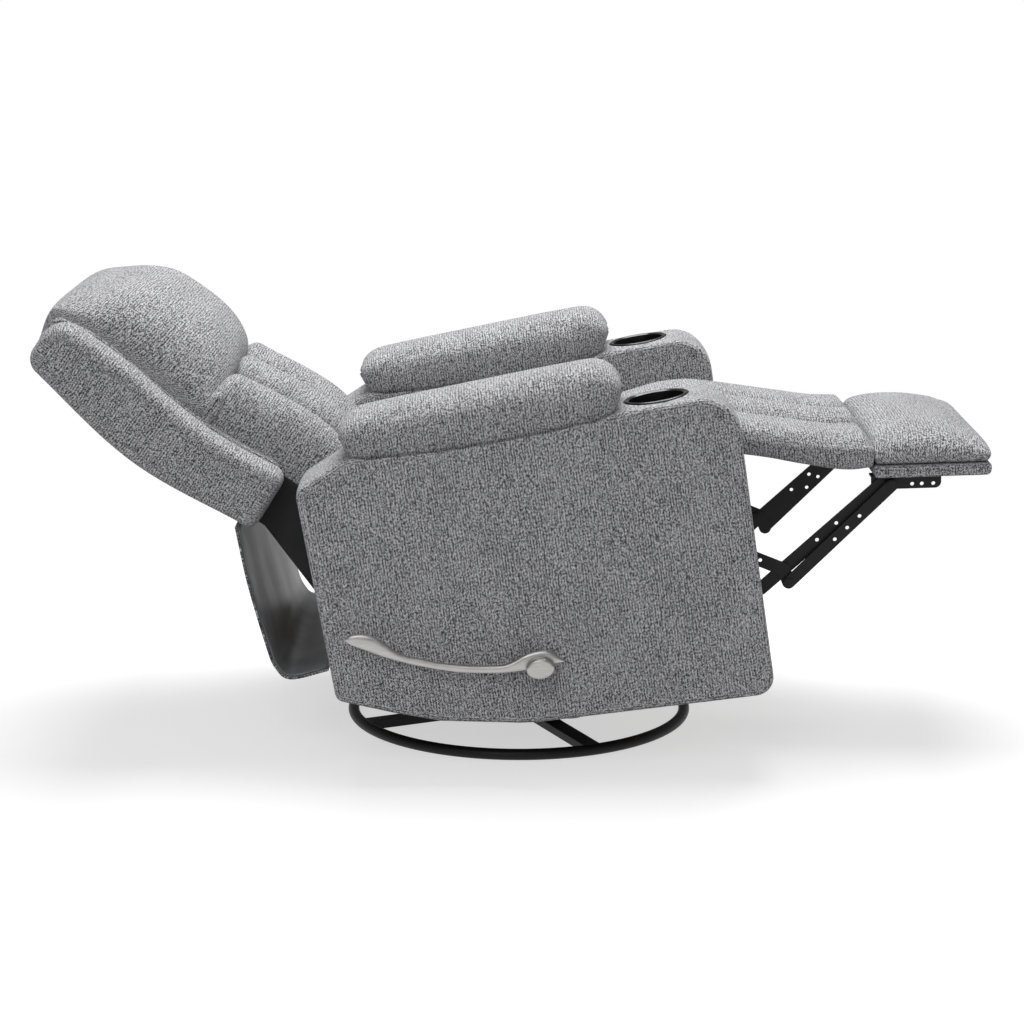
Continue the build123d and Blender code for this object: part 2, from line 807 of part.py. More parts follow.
# Pivot pins: shanks through their plates, with a head on the inner side
side_outer = layer(layer_side)[1]
with BuildPart() as main_pivots:
    for sign in SIDES:
        for point, inner in ((main_pivot, layer(layer_lower)[0]), (control_pivot, layer(layer_bracket)[0])):
            pin(point, inner - gap, side_outer, pin_radius, sign)
            pin(point, inner - gap - pin_head_height, inner - gap, pin_head_radius, sign)
save(main_pivots, "main_pivots")

with BuildPart() as knee_pivots:
    for sign in SIDES:
        inner = layer(layer_upper)[0] - gap
        pin(knee_pivot, inner, layer(layer_lower)[1], pin_radius, sign)
        pin(knee_pivot, inner - pin_head_height, inner, pin_head_radius, sign)
        outer = layer(layer_upper_control)[1] + gap
        pin(knee_control, layer(layer_lower)[0], outer, pin_radius, sign)
        pin(knee_control, outer, outer + pin_head_height, pin_head_radius, sign)
save(knee_pivots, "knee_pivots")

with BuildPart() as board_pivots:
    for sign in SIDES:
        inner = layer(layer_bracket)[0] - gap
        pin(board_pivot, inner, layer(layer_upper)[1], pin_radius, sign)
        pin(board_pivot, inner - pin_head_height, inner, pin_head_radius, sign)
save(board_pivots, "board_pivots")

# Footrest: brackets, upholstered board and the crowned pad
bracket_pivots = [on_board(board_pivot), on_board(board_control)]
with BuildPart() as footrest_brackets:
    for sign in SIDES:
        with BuildSketch(side(sign * layer_bracket, board_origin, board_slope)) as bracket:
            with Locations((-6, -board_thickness)):
                Rectangle(bracket_front + 6, bracket_height, align=(Align.MIN, Align.MAX))
            fillet(bracket.vertices().group_by(Axis.Y)[0], bracket_height / 2.2)
            holes(bracket_pivots[:1], pin_hole)
            holes([(x, bracket_pivots[0][1]) for x in (62, 78, 97)], link_hole_radius)
        extrude(amount=link_thickness / 2, both=True)
        inner = layer(layer_bracket)[0]
        with BuildSketch(side(sign * (inner - bracket_flange / 2), board_origin, board_slope)):
            with Locations((-6, -board_thickness)):
                Rectangle(bracket_front + 6, link_thickness, align=(Align.MIN, Align.MAX))
        extrude(amount=bracket_flange / 2, both=True)
        stud_end = layer(layer_upper_control)[0] - gap
        pin(board_control, layer(layer_bracket)[1], stud_end, pin_radius, sign)
save(footrest_brackets, "footrest_brackets")

with BuildPart() as footrest_board:
    with BuildSketch(side(0, board_origin, board_slope)):
        with Locations((board_rear, 0)):
            Rectangle(board_length, board_thickness, align=(Align.MIN, Align.MAX))
    extrude(amount=seat_half_width - board_inset, both=True)
    fillet(footrest_board.edges(), board_edge_radius)
save(footrest_board, "footrest_board")

with BuildPart() as foot_pad:
    for y, share in ((-1.0, 0.55), (-0.76, 0.94), (0.0, 1.0), (0.76, 0.94), (1.0, 0.55)):
        height = foot_crown * share
        toe = (foot_tip - foot_round, gap)
        brow = (foot_tip - foot_roll, height * 0.66)
        heel_top = (foot_rear + 2 * foot_round, height * 0.84)
        heel = (foot_rear + foot_round, gap)
        with BuildSketch(side(-y * seat_half_width, board_origin, board_slope)):
            with BuildLine():
                Line(heel, toe)
                ThreePointArc(toe, (foot_tip, height * 0.34), brow)
                ThreePointArc(brow, (foot_tip - foot_crest_back, height), heel_top)
                ThreePointArc(heel_top, (foot_rear, height * 0.42), heel)
            make_face()
    loft()
save(foot_pad, "foot_pad")

# Release lever: shaft in a flanged bush through the right arm, wave-shaped blade, oval cap and cam
lever_at = (lever_forward, lever_up)
arm_outer = arm_inner + arm_width
flange_end = arm_outer + bush_flange_height
with BuildPart() as lever_bush:
    for inner, outer, radius in (
        (arm_inner, arm_outer, bush_radius),
        (arm_outer, flange_end, bush_flange_radius),
    ):
        pin(lever_at, inner, outer, radius, -1)
    with BuildSketch(side(-arm_middle)):
        with Locations(lever_at):
            Circle(release_shaft_radius + pivot_clearance)
    extrude(amount=arm_width, both=True, mode=Mode.SUBTRACT)
save(lever_bush, "lever_bush")

lever_middle = arm_outer + lever_standoff
lever_inner = lever_middle - lever_thickness / 2
lever_outer = lever_middle + lever_thickness / 2


def blade(*shares):
    """Arc of the lever's outline through three points, given as shares of its length and its rise."""
    return ThreePointArc(*[(x * lever_length, y * lever_rise) for x, y in shares])


with BuildPart() as release_lever:
    with BuildSketch(side(-lever_middle, lever_at)):
        with BuildLine():
            blade((-1.0, 1.0), (-0.94, 1.02), (-0.88, 0.95))
            blade((-0.88, 0.95), (-0.832, 0.734), (-0.747, 0.564))
            blade((-0.747, 0.564), (-0.486, 0.255), (-0.216, 0.117))
            blade((-0.216, 0.117), (-0.116, 0.181), (-0.01, 0.277))
            blade((-0.01, 0.277), (0.075, 0.245), (0.127, 0.053))
            blade((0.127, 0.053), (0.068, -0.043), (0, -0.021))
            blade((0, -0.021), (-0.356, 0.064), (-0.7, 0.362))
            blade((-0.7, 0.362), (-0.856, 0.596), (-0.976, 0.851))
            blade((-0.976, 0.851), (-1.014, 0.936), (-1.0, 1.0))
        make_face()
        Ellipse(lever_hub_long / 2, lever_hub_short / 2)
    extrude(amount=lever_thickness / 2, both=True)
    pin(lever_at, flange_end + gap, lever_inner, bush_radius, -1)
    with BuildSketch(side(-lever_middle)):
        with Locations(lever_at):
            Circle(release_shaft_radius + pivot_clearance)
    extrude(amount=lever_thickness * 3, both=True, mode=Mode.SUBTRACT)
save(release_lever, "release_lever")

with BuildPart() as lever_cap:
    with BuildSketch(side(-(lever_outer + lever_cap_height / 2), lever_at)):
        Ellipse(lever_hub_long / 2, lever_hub_short / 2)
    extrude(amount=lever_cap_height / 2, both=True)
    fillet(lever_cap.faces().sort_by(Axis.Y)[0].edges(), lever_cap_height / 3)
save(lever_cap, "lever_cap")

with BuildPart() as release_shaft:
    pin(lever_at, layer(layer_upper_control)[0], lever_outer, release_shaft_radius, -1)
save(release_shaft, "release_shaft")

with BuildPart() as release_cam:
    with BuildSketch(side(-layer_upper_control, lever_at)):
        bar((0, 0), (-cam_reach, 0), cam_width)
        holes([(0, 0)], release_shaft_radius + pivot_clearance)
        holes([(-cam_reach, 0)], pin_radius)
    extrude(amount=link_thickness / 2, both=True)
save(release_cam, "release_cam")

# Back frame: two posts, three cross rails, and brackets that turn on the side plates
with BuildPart() as recline_pivots:
    head = post_outer - gap
    for sign in SIDES:
        pin(recline_pivot, head, side_outer, recline_pin_radius, sign)
        pin(recline_pivot, head - pin_head_height, head, recline_head_radius, sign)
save(recline_pivots, "recline_pivots")

recline_on_back = on_back(recline_pivot)
frame_middle = frame_front - frame_depth / 2
with BuildPart() as back_brackets:
    for sign in SIDES:
        with BuildSketch(back(sign * (post_outer + link_thickness / 2))):
            bar(recline_on_back, (back_bracket_bend, frame_middle), back_bracket_width)
            bar((back_bracket_bend, frame_middle), (back_bracket_top, frame_middle), frame_depth)
            holes([recline_on_back], recline_pin_radius + pivot_clearance)
        extrude(amount=link_thickness / 2, both=True)
save(back_brackets, "back_brackets")

with BuildPart() as back_posts:
    for sign in SIDES:
        with BuildSketch(back(sign * (post_inner + post_outer) / 2)):
            with Locations((post_foot, frame_front)):
                Rectangle(post_top - post_foot, frame_depth, align=(Align.MIN, Align.MAX))
        extrude(amount=(post_outer - post_inner) / 2, both=True)
save(back_posts, "back_posts")

with BuildPart() as back_cross_rails:
    for start in back_rails:
        with BuildSketch(back(0)):
            with Locations((start, frame_front - frame_depth)):
                Rectangle(back_rail_height, back_rail_depth, align=(Align.MIN, Align.MAX))
        extrude(amount=wing_inner - gap, both=True)
save(back_cross_rails, "back_cross_rails")

# Upholstered outside back, and the wings at its sides
back_belly = (wing_length * 0.47, -wing_rear_mid)
panel_head = (wing_length - 10, -wing_rear_top - 8)
with BuildPart() as back_outer_panel:
    with BuildSketch(back(0)):
        with BuildLine():
            Line((0, -panel_rear), (panel_flat, -panel_rear))
            ThreePointArc((panel_flat, -panel_rear), back_belly, panel_head)
            Polyline(
                panel_head,
                (panel_lip, frame_front - 1),
                (panel_lip - 22, frame_front - 1),
                (panel_lip - 28, frame_front - 9),
                (post_top, -panel_front),
                (0, -panel_front),
                (0, -panel_rear),
            )
        make_face()
    extrude(amount=wing_inner - panel_clearance, both=True)
save(back_outer_panel, "back_outer_panel")

for sign, name in zip(SIDES, ("wing_right", "wing_left")):
    with BuildPart() as wing:
        with BuildSketch(back(sign * (wing_inner + wing_width / 2))) as wing_outline:
            with BuildLine():
                ThreePointArc((0, 0), (wing_length * 0.32, -14), (wing_length * 0.65, 0))
                Line((wing_length * 0.65, 0), (wing_length, 5))
                Line((wing_length, 5), (wing_length, -wing_rear_top))
                ThreePointArc((wing_length, -wing_rear_top), back_belly, (0, -wing_rear_foot))
                Line((0, -wing_rear_foot), (0, 0))
            make_face()
            for corner, radius in (
                ((wing_length, 5), 38),
                ((wing_length, -wing_rear_top), 26),
                ((0, -wing_rear_foot), 18),
                ((0, 0), 18),
            ):
                fillet(wing_outline.vertices().sort_by_distance(corner)[0], radius)
        extrude(amount=wing_width / 2, both=True)
        outer_face = wing.faces().sort_by(Axis.Y)[0 if sign < 0 else -1]
        fillet(outer_face.edges(), wing_edge_radius)
    save(wing, name)

# Back cushions: the channelled lumbar cushion and the head pillow that overhangs it
cushion_base = frame_front + gap
with BuildPart() as lumbar_cushion:
    for along, crest in zip(lumbar_stations, lumbar_crests):
        with BuildSketch(back_across(along)):
            channels(lumbar_half_width, cushion_base, crest, lumbar_channel_depth, lumbar_edge_drop)
    loft()
save(lumbar_cushion, "lumbar_cushion")

with BuildPart() as head_pillow:
    for share, crown in ((-1.0, 0.12), (-0.84, 0.76), (0.0, 1.0), (0.84, 0.76), (1.0, 0.12)):
        rise = pillow_crown * crown
        foot = pillow_foot + 14 * (1 - crown)
        top = pillow_top - 16 * (1 - crown)
        with BuildSketch(back(share * (wing_inner - pillow_clearance))):
            with BuildLine():
                Line((foot, cushion_base), (top - 12, cushion_base))
                ThreePointArc((top - 12, cushion_base), (top, rise * 0.1), (top - 45, rise * 0.62))
                ThreePointArc((top - 45, rise * 0.62), (top - 190, rise), (foot + 36, rise * 0.82))
                ThreePointArc((foot + 36, rise * 0.82), (foot + 6, rise * 0.45), (foot, 0))
                Line((foot, 0), (foot, cushion_base))
            make_face()
    loft()
save(head_pillow, "head_pillow")

with BuildPart() as lower_back_cloth:
    with BuildSketch(back(0)):
        with Locations((-gap, -(panel_front + panel_rear) / 2)):
            Rectangle(cloth_length, cloth_thickness, align=(Align.MAX, Align.CENTER))
    extrude(amount=post_outer + link_thickness, both=True)
save(lower_back_cloth, "lower_back_cloth")

# Rear flap: a fabric panel that hangs from a bead under the back and curls forward at its foot
flap_hinge = back_spot(flap_hinge_along, -(panel_rear + flap_bead + gap))


def flap_line(inset):
    """Points of the flap's line, set in from its outer face: head, belly, hip, curl, foot and lip."""
    return (
        (inset - flap_bead, 0),
        (inset + 2, -flap_drop * 0.37),
        (inset + 15, -flap_drop * 0.775),
        (inset * 0.8 + 24, inset * 0.5 - flap_drop * 0.915),
        (inset * 0.3 + 46, inset - flap_drop),
        (46 + flap_lip, inset - flap_drop + 5),
    )


for name, outer, thickness in (("rear_flap", 0.0, flap_skin), ("rear_flap_liner", flap_skin, flap_liner)):
    with BuildPart() as flap:
        a = flap_line(outer)
        b = flap_line(outer + thickness)
        with BuildSketch(side(0, flap_hinge)):
            with BuildLine():
                Line(a[0], b[0])
                ThreePointArc(b[0], b[1], b[2])
                ThreePointArc(b[2], b[3], b[4])
                Polyline(b[4], b[5], a[5], a[4])
                ThreePointArc(a[4], a[3], a[2])
                ThreePointArc(a[2], a[1], a[0])
            make_face()
            if name == "rear_flap":
                Circle(flap_bead)
            else:
                Circle(flap_bead + gap, mode=Mode.SUBTRACT)
        extrude(amount=wing_inner + flap_overlap, both=True)
    save(flap, name)
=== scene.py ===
# %% [markdown]
# # A grey tweed swivel rocker recliner
# The chair lies back with its footrest out. Its steel, wood and plastic pieces come in as solids that
# already stand where they belong, and every upholstered piece is sewn here as a surface of its own and
# laid over the solid that it stands for.

# %% Load the solids
import math

import bmesh
import bpy
import numpy as np
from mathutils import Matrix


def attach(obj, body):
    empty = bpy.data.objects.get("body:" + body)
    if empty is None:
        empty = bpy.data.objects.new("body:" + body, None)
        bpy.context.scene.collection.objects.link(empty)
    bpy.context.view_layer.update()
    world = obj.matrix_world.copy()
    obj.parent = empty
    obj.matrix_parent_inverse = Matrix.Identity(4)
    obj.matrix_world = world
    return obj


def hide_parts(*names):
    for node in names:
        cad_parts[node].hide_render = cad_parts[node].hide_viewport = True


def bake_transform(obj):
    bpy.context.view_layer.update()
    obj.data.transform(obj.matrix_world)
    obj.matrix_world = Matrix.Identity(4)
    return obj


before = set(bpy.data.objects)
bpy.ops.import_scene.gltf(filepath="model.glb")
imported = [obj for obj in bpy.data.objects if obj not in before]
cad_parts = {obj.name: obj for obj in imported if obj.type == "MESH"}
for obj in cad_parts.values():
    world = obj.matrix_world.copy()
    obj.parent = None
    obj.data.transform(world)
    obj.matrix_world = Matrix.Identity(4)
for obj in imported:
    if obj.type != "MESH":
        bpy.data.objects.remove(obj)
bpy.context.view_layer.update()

# %% [markdown]
# ## Measuring along the chair
# A maker measures a recliner along its parts: forward and up on a level chair, up the back from the
# corner where it starts, along the footrest board. The photographed chair is rocked back, so each of
# these rulers is one turn and one shift of the flat drawing, and every piece is drawn on its own ruler
# in millimetres.

# %% Rulers
rocked_back = math.radians(8.5)
shaft_height = 80


def on_chair(forward, up, y):
    """Level millimetres to world metres: the chair is rocked back about its shaft."""
    forward, up, y = np.broadcast_arrays(forward, up, y)
    above = up - shaft_height
    x = forward * math.cos(rocked_back) - above * math.sin(rocked_back)
    z = shaft_height + forward * math.sin(rocked_back) + above * math.cos(rocked_back)
    return np.stack([x, y, z], -1) / 1000


def ruler(corner, slope):
    """Along and out on a ruler to forward and up on the level chair: a turn by slope degrees about the
    corner where the ruler starts."""
    turn = math.radians(slope)

    def to_level(along, out):
        forward = corner[0] + along * math.cos(turn) - out * math.sin(turn)
        up = corner[1] + along * math.sin(turn) + out * math.cos(turn)
        return forward, up

    return to_level


back_ruler = ruler(corner=(-317, 536), slope=136.44)
board_ruler = ruler(corner=(640, 391), slope=-6.65)


def on_back(along, out, y):
    """Along runs up the back from its lower corner, and out is the distance in front of it."""
    return on_chair(*back_ruler(along, -np.asarray(out)), y)


def on_board(along, out, y):
    """Along runs forward on the footrest board from its rear edge, and out is the height above it."""
    return on_chair(*board_ruler(along, out), y)


print("back corner at", on_back(0, 0, 0).round(3), "board corner at", on_board(0, 0, 0).round(3))

# %% [markdown]
# ## Curves from a few points
# An upholsterer's pattern is a handful of marks joined with a bent strip of wood. The same is done here:
# a smooth curve goes through the marks, and is divided evenly. Corners that are cut square and then
# rounded are made as arcs, because a bent strip would bulge between them.

# %% Pattern curves
def bent(marks, at):
    """Height of a smooth curve through the marks (place, height): cubic pieces whose slope at each mark
    is that of the chord between its neighbours."""
    x, h = np.asarray(marks, float).T
    slope = np.gradient(h, x)
    at = np.clip(at, x[0], x[-1])
    i = np.clip(np.searchsorted(x, at) - 1, 0, len(x) - 2)
    width = x[i + 1] - x[i]
    t = (at - x[i]) / width
    rise = (3 - 2 * t) * t * t
    left = t * (1 - t) ** 2 * width * slope[i]
    right = t * t * (t - 1) * width * slope[i + 1]
    return h[i] * (1 - rise) + h[i + 1] * rise + left + right


def through(marks, steps):
    """Smooth curve through marks (x, y): each coordinate is bent over the marks' numbers."""
    marks = np.asarray(marks, float)
    number = np.arange(len(marks))
    at = np.linspace(0, len(marks) - 1, steps)
    return np.stack([bent(np.stack([number, axis], -1), at) for axis in marks.T], -1)


def evenly(points, count, closed=True):
    """Divides a polyline into count equal steps by its running length."""
    points = np.asarray(points, float)
    if closed:
        points = np.vstack([points, points[:1]])
    run = np.concatenate([[0], np.cumsum(np.linalg.norm(np.diff(points, axis=0), axis=1))])
    at = np.linspace(0, run[-1], count, endpoint=not closed)
    return np.stack([np.interp(at, run, axis) for axis in points.T], -1)


def rounded(corners, count):
    """Closed outline through corners (x, y, radius): each corner is the arc that touches both its edges. A
    corner without a radius, or one whose edges run nearly straight on, stays a point."""
    nearly_straight, arc_steps = 1.5, 12
    made = []
    neighbours = zip(corners, corners[-1:] + corners[:-1], corners[1:] + corners[:1])
    for (x, y, radius), before, after in neighbours:
        corner = np.array([x, y], float)
        a = np.array(before[:2], float) - corner
        b = np.array(after[:2], float) - corner
        a /= np.linalg.norm(a)
        b /= np.linalg.norm(b)
        half = math.acos(np.clip(a @ b, -1, 1)) / 2
        if radius == 0 or half > nearly_straight:
            made.append(corner[None])
            continue
        middle = corner + (a + b) / np.linalg.norm(a + b) * radius / math.sin(half)
        start = corner + a * radius / math.tan(half) - middle
        end = corner + b * radius / math.tan(half) - middle
        sweep = np.linspace(0, math.pi - 2 * half, arc_steps)[:, None]
        side = end - start * math.cos(math.pi - 2 * half)
        side /= np.linalg.norm(side)
        made.append(middle + start * np.cos(sweep) + side * radius * np.sin(sweep))
    return evenly(np.vstack(made), count)


def unrounded(places, heights):
    """Corners without a radius, for a stretch of outline that is a smooth curve already."""
    return [(float(place), float(height), 0) for place, height in zip(places, heights)]


def quarter(share, power=2.0):
    """Round of an edge: 0 at share 0, 1 at share 1, as (1 - (1 - share)^power)^(1 / power)."""
    return (1 - (1 - np.clip(share, 0, 1)) ** power) ** (1 / power)


def bell(distance, width):
    """A smooth hump, 1 in its middle: e to the power of minus the square of distance / width."""
    return np.exp(-((distance / width) ** 2))


def graded(start, end, first, last, count):
    """Places from start to end, dense over the first and the last few millimetres, where an edge rounds."""
    ease = 1 - np.cos(np.linspace(0, math.pi / 2, 11))
    middle = np.linspace(start + first, end - last, count)
    return np.concatenate([start + first * ease[:-1], middle, end - last * ease[::-1][1:]])


def crowded(count, weight):
    """Shares from -1 to 1 across a cushion: a sine's steps, which crowd at both ends, mixed by their weight
    with even steps."""
    even = np.linspace(-1, 1, count)
    return np.sin(even * math.pi / 2) * weight + even * (1 - weight)


print("round of an edge at a tenth, a half:", quarter(np.array([0.1, 0.5])).round(2))

# %% [markdown]
# ## Sewing a grid into a mesh
# Cloth is laid in rows: one row across, the next beside it. Each row is an array of points, so a whole
# piece is one grid, and its faces are index arithmetic. The cloth's own coordinates, in metres across
# and along the thread, go into a map called weave, so that the yarn follows the piece.

# %% Sew
def spans(grid):
    """Cloth coordinates of the two rows that each band of faces lies between."""
    return np.stack([grid[:-1], grid[1:]], 1)


def running(points, closed):
    """Running length along the columns of each row, with the closing step where it is closed."""
    if closed:
        points = np.concatenate([points, points[:, :1]], 1)
    steps = np.linalg.norm(np.diff(points, axis=1), axis=2)
    return np.concatenate([np.zeros((len(points), 1)), np.cumsum(steps, 1)], 1)


def laid(points, closed=True, turned=False):
    """Cloth coordinates of a lofted piece: the first across the rows, by the running length of their
    middles, and the second round each row from its middle. Turned swaps them."""
    around = running(points, closed)
    middle = points.shape[1] // 2
    around = around - around[:, middle : middle + 1]
    steps = np.linalg.norm(np.diff(points[:, middle], axis=0), axis=1)
    across = np.concatenate([[0], np.cumsum(steps)])[:, None] + 0 * around
    return spans(np.stack([around, across] if turned else [across, around], -1))


def capped(rows):
    """Rows with one more at each end, shrunk to the end row's middle, which closes the piece."""
    first, last = (end.mean(1, keepdims=True) + 0 * end for end in (rows[:1], rows[-1:]))
    return np.concatenate([first, rows, last])


def sew(name, points, cloth, closed=True, held=0.0, worn=0.0):
    """Rows of points to a mesh of four-sided faces. Rows that shrink to a line or a point are merged, which
    closes the piece, and the faces are turned outwards. Held marks the points that a seam ties down; the
    other value is painted shade, how far the colour is darkened at each point where shade falls."""
    rows, columns = points.shape[:2]
    r = np.arange(rows - 1)[:, None]
    c = np.arange(columns if closed else columns - 1)[None]
    n = (c + 1) % columns
    faces = np.stack([r * columns + c, r * columns + n, (r + 1) * columns + n, (r + 1) * columns + c], -1)
    corners = np.stack([cloth[r, 0, c], cloth[r, 0, c + 1], cloth[r, 1, c + 1], cloth[r, 1, c]], 2)
    mesh = bpy.data.meshes.new(name)
    mesh.from_pydata(points.reshape(-1, 3).tolist(), [], faces.reshape(-1, 4).tolist())
    mesh.uv_layers.new(name="weave").data.foreach_set("uv", corners.astype(np.float32).ravel())
    for kind, value in (("held", held), ("worn", worn)):
        spread = np.broadcast_to(value, (rows, columns)).astype(np.float32)
        mesh.attributes.new(kind, "FLOAT", "POINT").data.foreach_set("value", spread.ravel())
    work = bmesh.new()
    work.from_mesh(mesh)
    bmesh.ops.remove_doubles(work, verts=work.verts, dist=2e-6)
    bmesh.ops.dissolve_degenerate(work, edges=work.edges, dist=1e-7)
    bmesh.ops.recalc_face_normals(work, faces=work.faces)
    work.to_mesh(mesh)
    work.free()
    mesh.shade_smooth()
    piece = bpy.data.objects.new(name, mesh)
    bpy.context.scene.collection.objects.link(piece)
    return piece


# %% [markdown]
# ## The tweed
# The cover is a chenille tweed: soft yarns about four and a half millimetres apart, spun from charcoal and
# pale grey, so that the cloth is full of short pale flecks that lean both ways and dark slubs that run with
# the yarn. It could be a picture of cloth, but a picture has one scale and one lighting. Here noise
# stretched along a direction makes the flecks and the slubs, a sine across the yarn makes its columns, and
# the same heights raise the bump, so the shade and the relief agree.

# %% Material helpers
def feed(tree, socket, value):
    """Gives a node's input a value, or links it to another node's output."""
    if isinstance(value, bpy.types.NodeSocket):
        tree.links.new(value, socket)
    else:
        socket.default_value = value


def adder(tree):
    """A function that adds a node to a tree, with its settings and its inputs."""

    def add(kind, settings=None, inputs=None):
        node = tree.nodes.new("ShaderNode" + kind)
        for key, value in (settings or {}).items():
            setattr(node, key, value)
        for key, value in (inputs or {}).items():
            feed(tree, node.inputs[key], value)
        return node

    return add


def finish_named(name):
    """A material, a function that adds nodes to it, and one that feeds its shader."""
    material = bpy.data.materials.new(name)
    material.use_nodes = True
    tree = material.node_tree
    shader = tree.nodes["Principled BSDF"]

    def into(socket, value):
        feed(tree, shader.inputs[socket], value)

    return material, adder(tree), into


def shades(add, factor, stops):
    """A ramp of greys or colours over a factor: stops are (place, colour)."""
    ramp = add("ValToRGB", None, {"Fac": factor})
    made = ramp.color_ramp.elements
    for i, (place, colour) in enumerate(stops):
        stop = made[i] if i < 2 else made.new(place)
        stop.position = place
        stop.color = (*([colour] * 3 if isinstance(colour, float) else colour), 1)
    return ramp.outputs["Color"]


def sum_of(add, *weighted):
    """Weighted sum of factors: each of them times its weight."""
    total = 0.0
    for factor, weight in weighted:
        total = add("Math", {"operation": "MULTIPLY_ADD"}, {0: factor, 1: weight, 2: total}).outputs[0]
    return total


def raised(add, height, strength, distance):
    """The normal of a surface that a factor raises, by a distance in metres where the strength is 1."""
    return add("Bump", None, {"Height": height, "Strength": strength, "Distance": distance}).outputs[0]


# %% Tweed
def stretched(add, coords, across, along, detail=2.0):
    """Noise in the cloth's own coordinates, so many features to the metre across and along the yarn."""
    scaled = add("VectorMath", {"operation": "MULTIPLY"}, {0: coords, 1: (across, along, 1)})
    noise = add("TexNoise", {"noise_dimensions": "2D"}, {
        "Vector": scaled.outputs[0], "Scale": 1.0, "Detail": detail, "Roughness": 0.6,
    })
    return noise.outputs["Fac"]


def leaning(add, coords, angle):
    """Cloth coordinates turned by an angle, for strokes that lean off the yarn."""
    turn = {"Vector": coords, "Center": (3.0, 7.0, 0.0), "Angle": math.radians(angle)}
    return add("VectorRotate", {"rotation_type": "Z_AXIS"}, turn).outputs[0]


def tweed():
    """Height is a weighted sum of flecks that lean both ways, slubs, columns of yarn, which the slubs push
    about, and faint patches. It gives the shade and the bump."""
    yarn_apart, push = 0.0044, 4.0
    material, add, into = finish_named("grey_chenille_tweed")
    coords = add("UVMap", {"uv_map": "weave"}).outputs["UV"]
    left = stretched(add, leaning(add, coords, 42), 630, 215)
    right = stretched(add, leaning(add, coords, -42), 660, 225)
    slubs = stretched(add, coords, 480, 56, detail=1.0)
    patches = stretched(add, coords, 22, 9)
    across = add("SeparateXYZ", None, {0: coords}).outputs[0]
    turns = sum_of(add, (slubs, push), (across, 2 * math.pi / yarn_apart))
    yarn = add("Math", {"operation": "SINE"}, {0: turns}).outputs[0]
    height = sum_of(add, (left, 0.54), (right, 0.54), (slubs, 0.20), (yarn, 0.040), (patches, 0.05))
    colour = shades(add, height, [
        (0.562, (0.045, 0.045, 0.048)),
        (0.776, (0.690, 0.690, 0.715)),
        (0.617, (0.145, 0.145, 0.151)),
        (0.668, (0.315, 0.315, 0.326)),
        (0.714, (0.520, 0.520, 0.538)),
    ])
    # painted shade: the colour is darkened towards a quarter of itself by the per-point shade carried by
    # the channel valleys and the pads' lower edges
    worn = add("Attribute", {"attribute_name": "worn"}).outputs["Fac"]
    with_painted_shade = add("Mix", {"data_type": "RGBA", "blend_type": "MULTIPLY"}, {
        "Factor": worn, "A": colour, "B": (0.25, 0.25, 0.26, 1),
    })
    into("Base Color", with_painted_shade.outputs["Result"])
    into("Normal", raised(add, height, 0.5, 0.0015))
    into("Roughness", 0.95)
    into("Specular IOR Level", 0.15)
    into("Sheen Weight", 0.12)
    into("Sheen Roughness", 0.6)
    return material


grey_tweed = tweed()
print("finish", grey_tweed.name)

# %% [markdown]
# ## Padding that is blown up
# Foam and fibre push the cover out until its seams hold it. That is what a cloth simulation with
# pressure does: the points on the seams are pinned, the rest swells for twenty steps without gravity.
# Free swelling would run away where the cloth is wide, so each point's travel is bent smoothly to a cap.

# %% Plump
def stuff(piece, pressure, steps):
    """Gives a piece a cloth simulation with pressure inside, and pins the points that its seams hold."""
    held = np.zeros(len(piece.data.vertices), np.float32)
    piece.data.attributes["held"].data.foreach_get("value", held)
    pins = piece.vertex_groups.new(name="seams")
    pins.add(np.flatnonzero(held > 0.5).tolist(), 1.0, "REPLACE")
    cloth = piece.modifiers.new("swell", "CLOTH")
    cloth.settings.vertex_group_mass = "seams"
    cloth.settings.use_pressure = True
    cloth.settings.uniform_pressure_force = pressure
    cloth.settings.effector_weights.gravity = 0
    cloth.settings.quality = 4
    cloth.settings.tension_stiffness = 12
    cloth.settings.compression_stiffness = 12
    cloth.settings.bending_stiffness = 2
    cloth.collision_settings.use_collision = False
    cloth.point_cache.frame_start = 1
    cloth.point_cache.frame_end = steps


def places_of(mesh):
    """The places of a mesh's points, a row for each."""
    places = np.zeros(len(mesh.vertices) * 3, np.float32)
    mesh.vertices.foreach_get("co", places)
    return places.reshape(-1, 3)


def plump(pieces, pressure, cap, steps=20):
    """Swells all the pieces in one run. A point that wants to move by d moves by cap * tanh(d / cap)."""
    for piece in pieces:
        stuff(piece, pressure, steps)
    for step in range(1, steps + 1):
        bpy.context.scene.frame_set(step)
    ready = bpy.context.evaluated_depsgraph_get()
    for piece in pieces:
        was = places_of(piece.data)
        move = places_of(piece.evaluated_get(ready).to_mesh()) - was
        far = np.linalg.norm(move, axis=1, keepdims=True)
        kept = was + move * cap * np.tanh(far / cap) / np.maximum(far, 1e-9)
        piece.modifiers.clear()
        piece.vertex_groups.clear()
        piece.data.vertices.foreach_set("co", kept.astype(np.float32).ravel())
        piece.data.update()
        print("swelled", piece.name, "by up to", round(float(far.max()) * 1000, 1), "mm before the cap")
    bpy.context.scene.frame_set(1)


# %% Dress
def thicken(piece, thick, offset):
    """Gives a sheet its thickness in metres: to both sides with offset 0, to the inside with -1."""
    wall = piece.modifiers.new("thick", "SOLIDIFY")
    wall.thickness = thick
    wall.offset = offset


def dress(piece, body, *nodes, fill=None, slot="grey_chenille", material=grey_tweed):
    """Gives a piece its finish, and where it has them hides the solids that it stands for and hangs it on
    the one body that it rides on. The slot and the filling are not used."""
    piece.data.materials.append(material)
    if nodes:
        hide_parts(*nodes)
    if body:
        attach(piece, body)


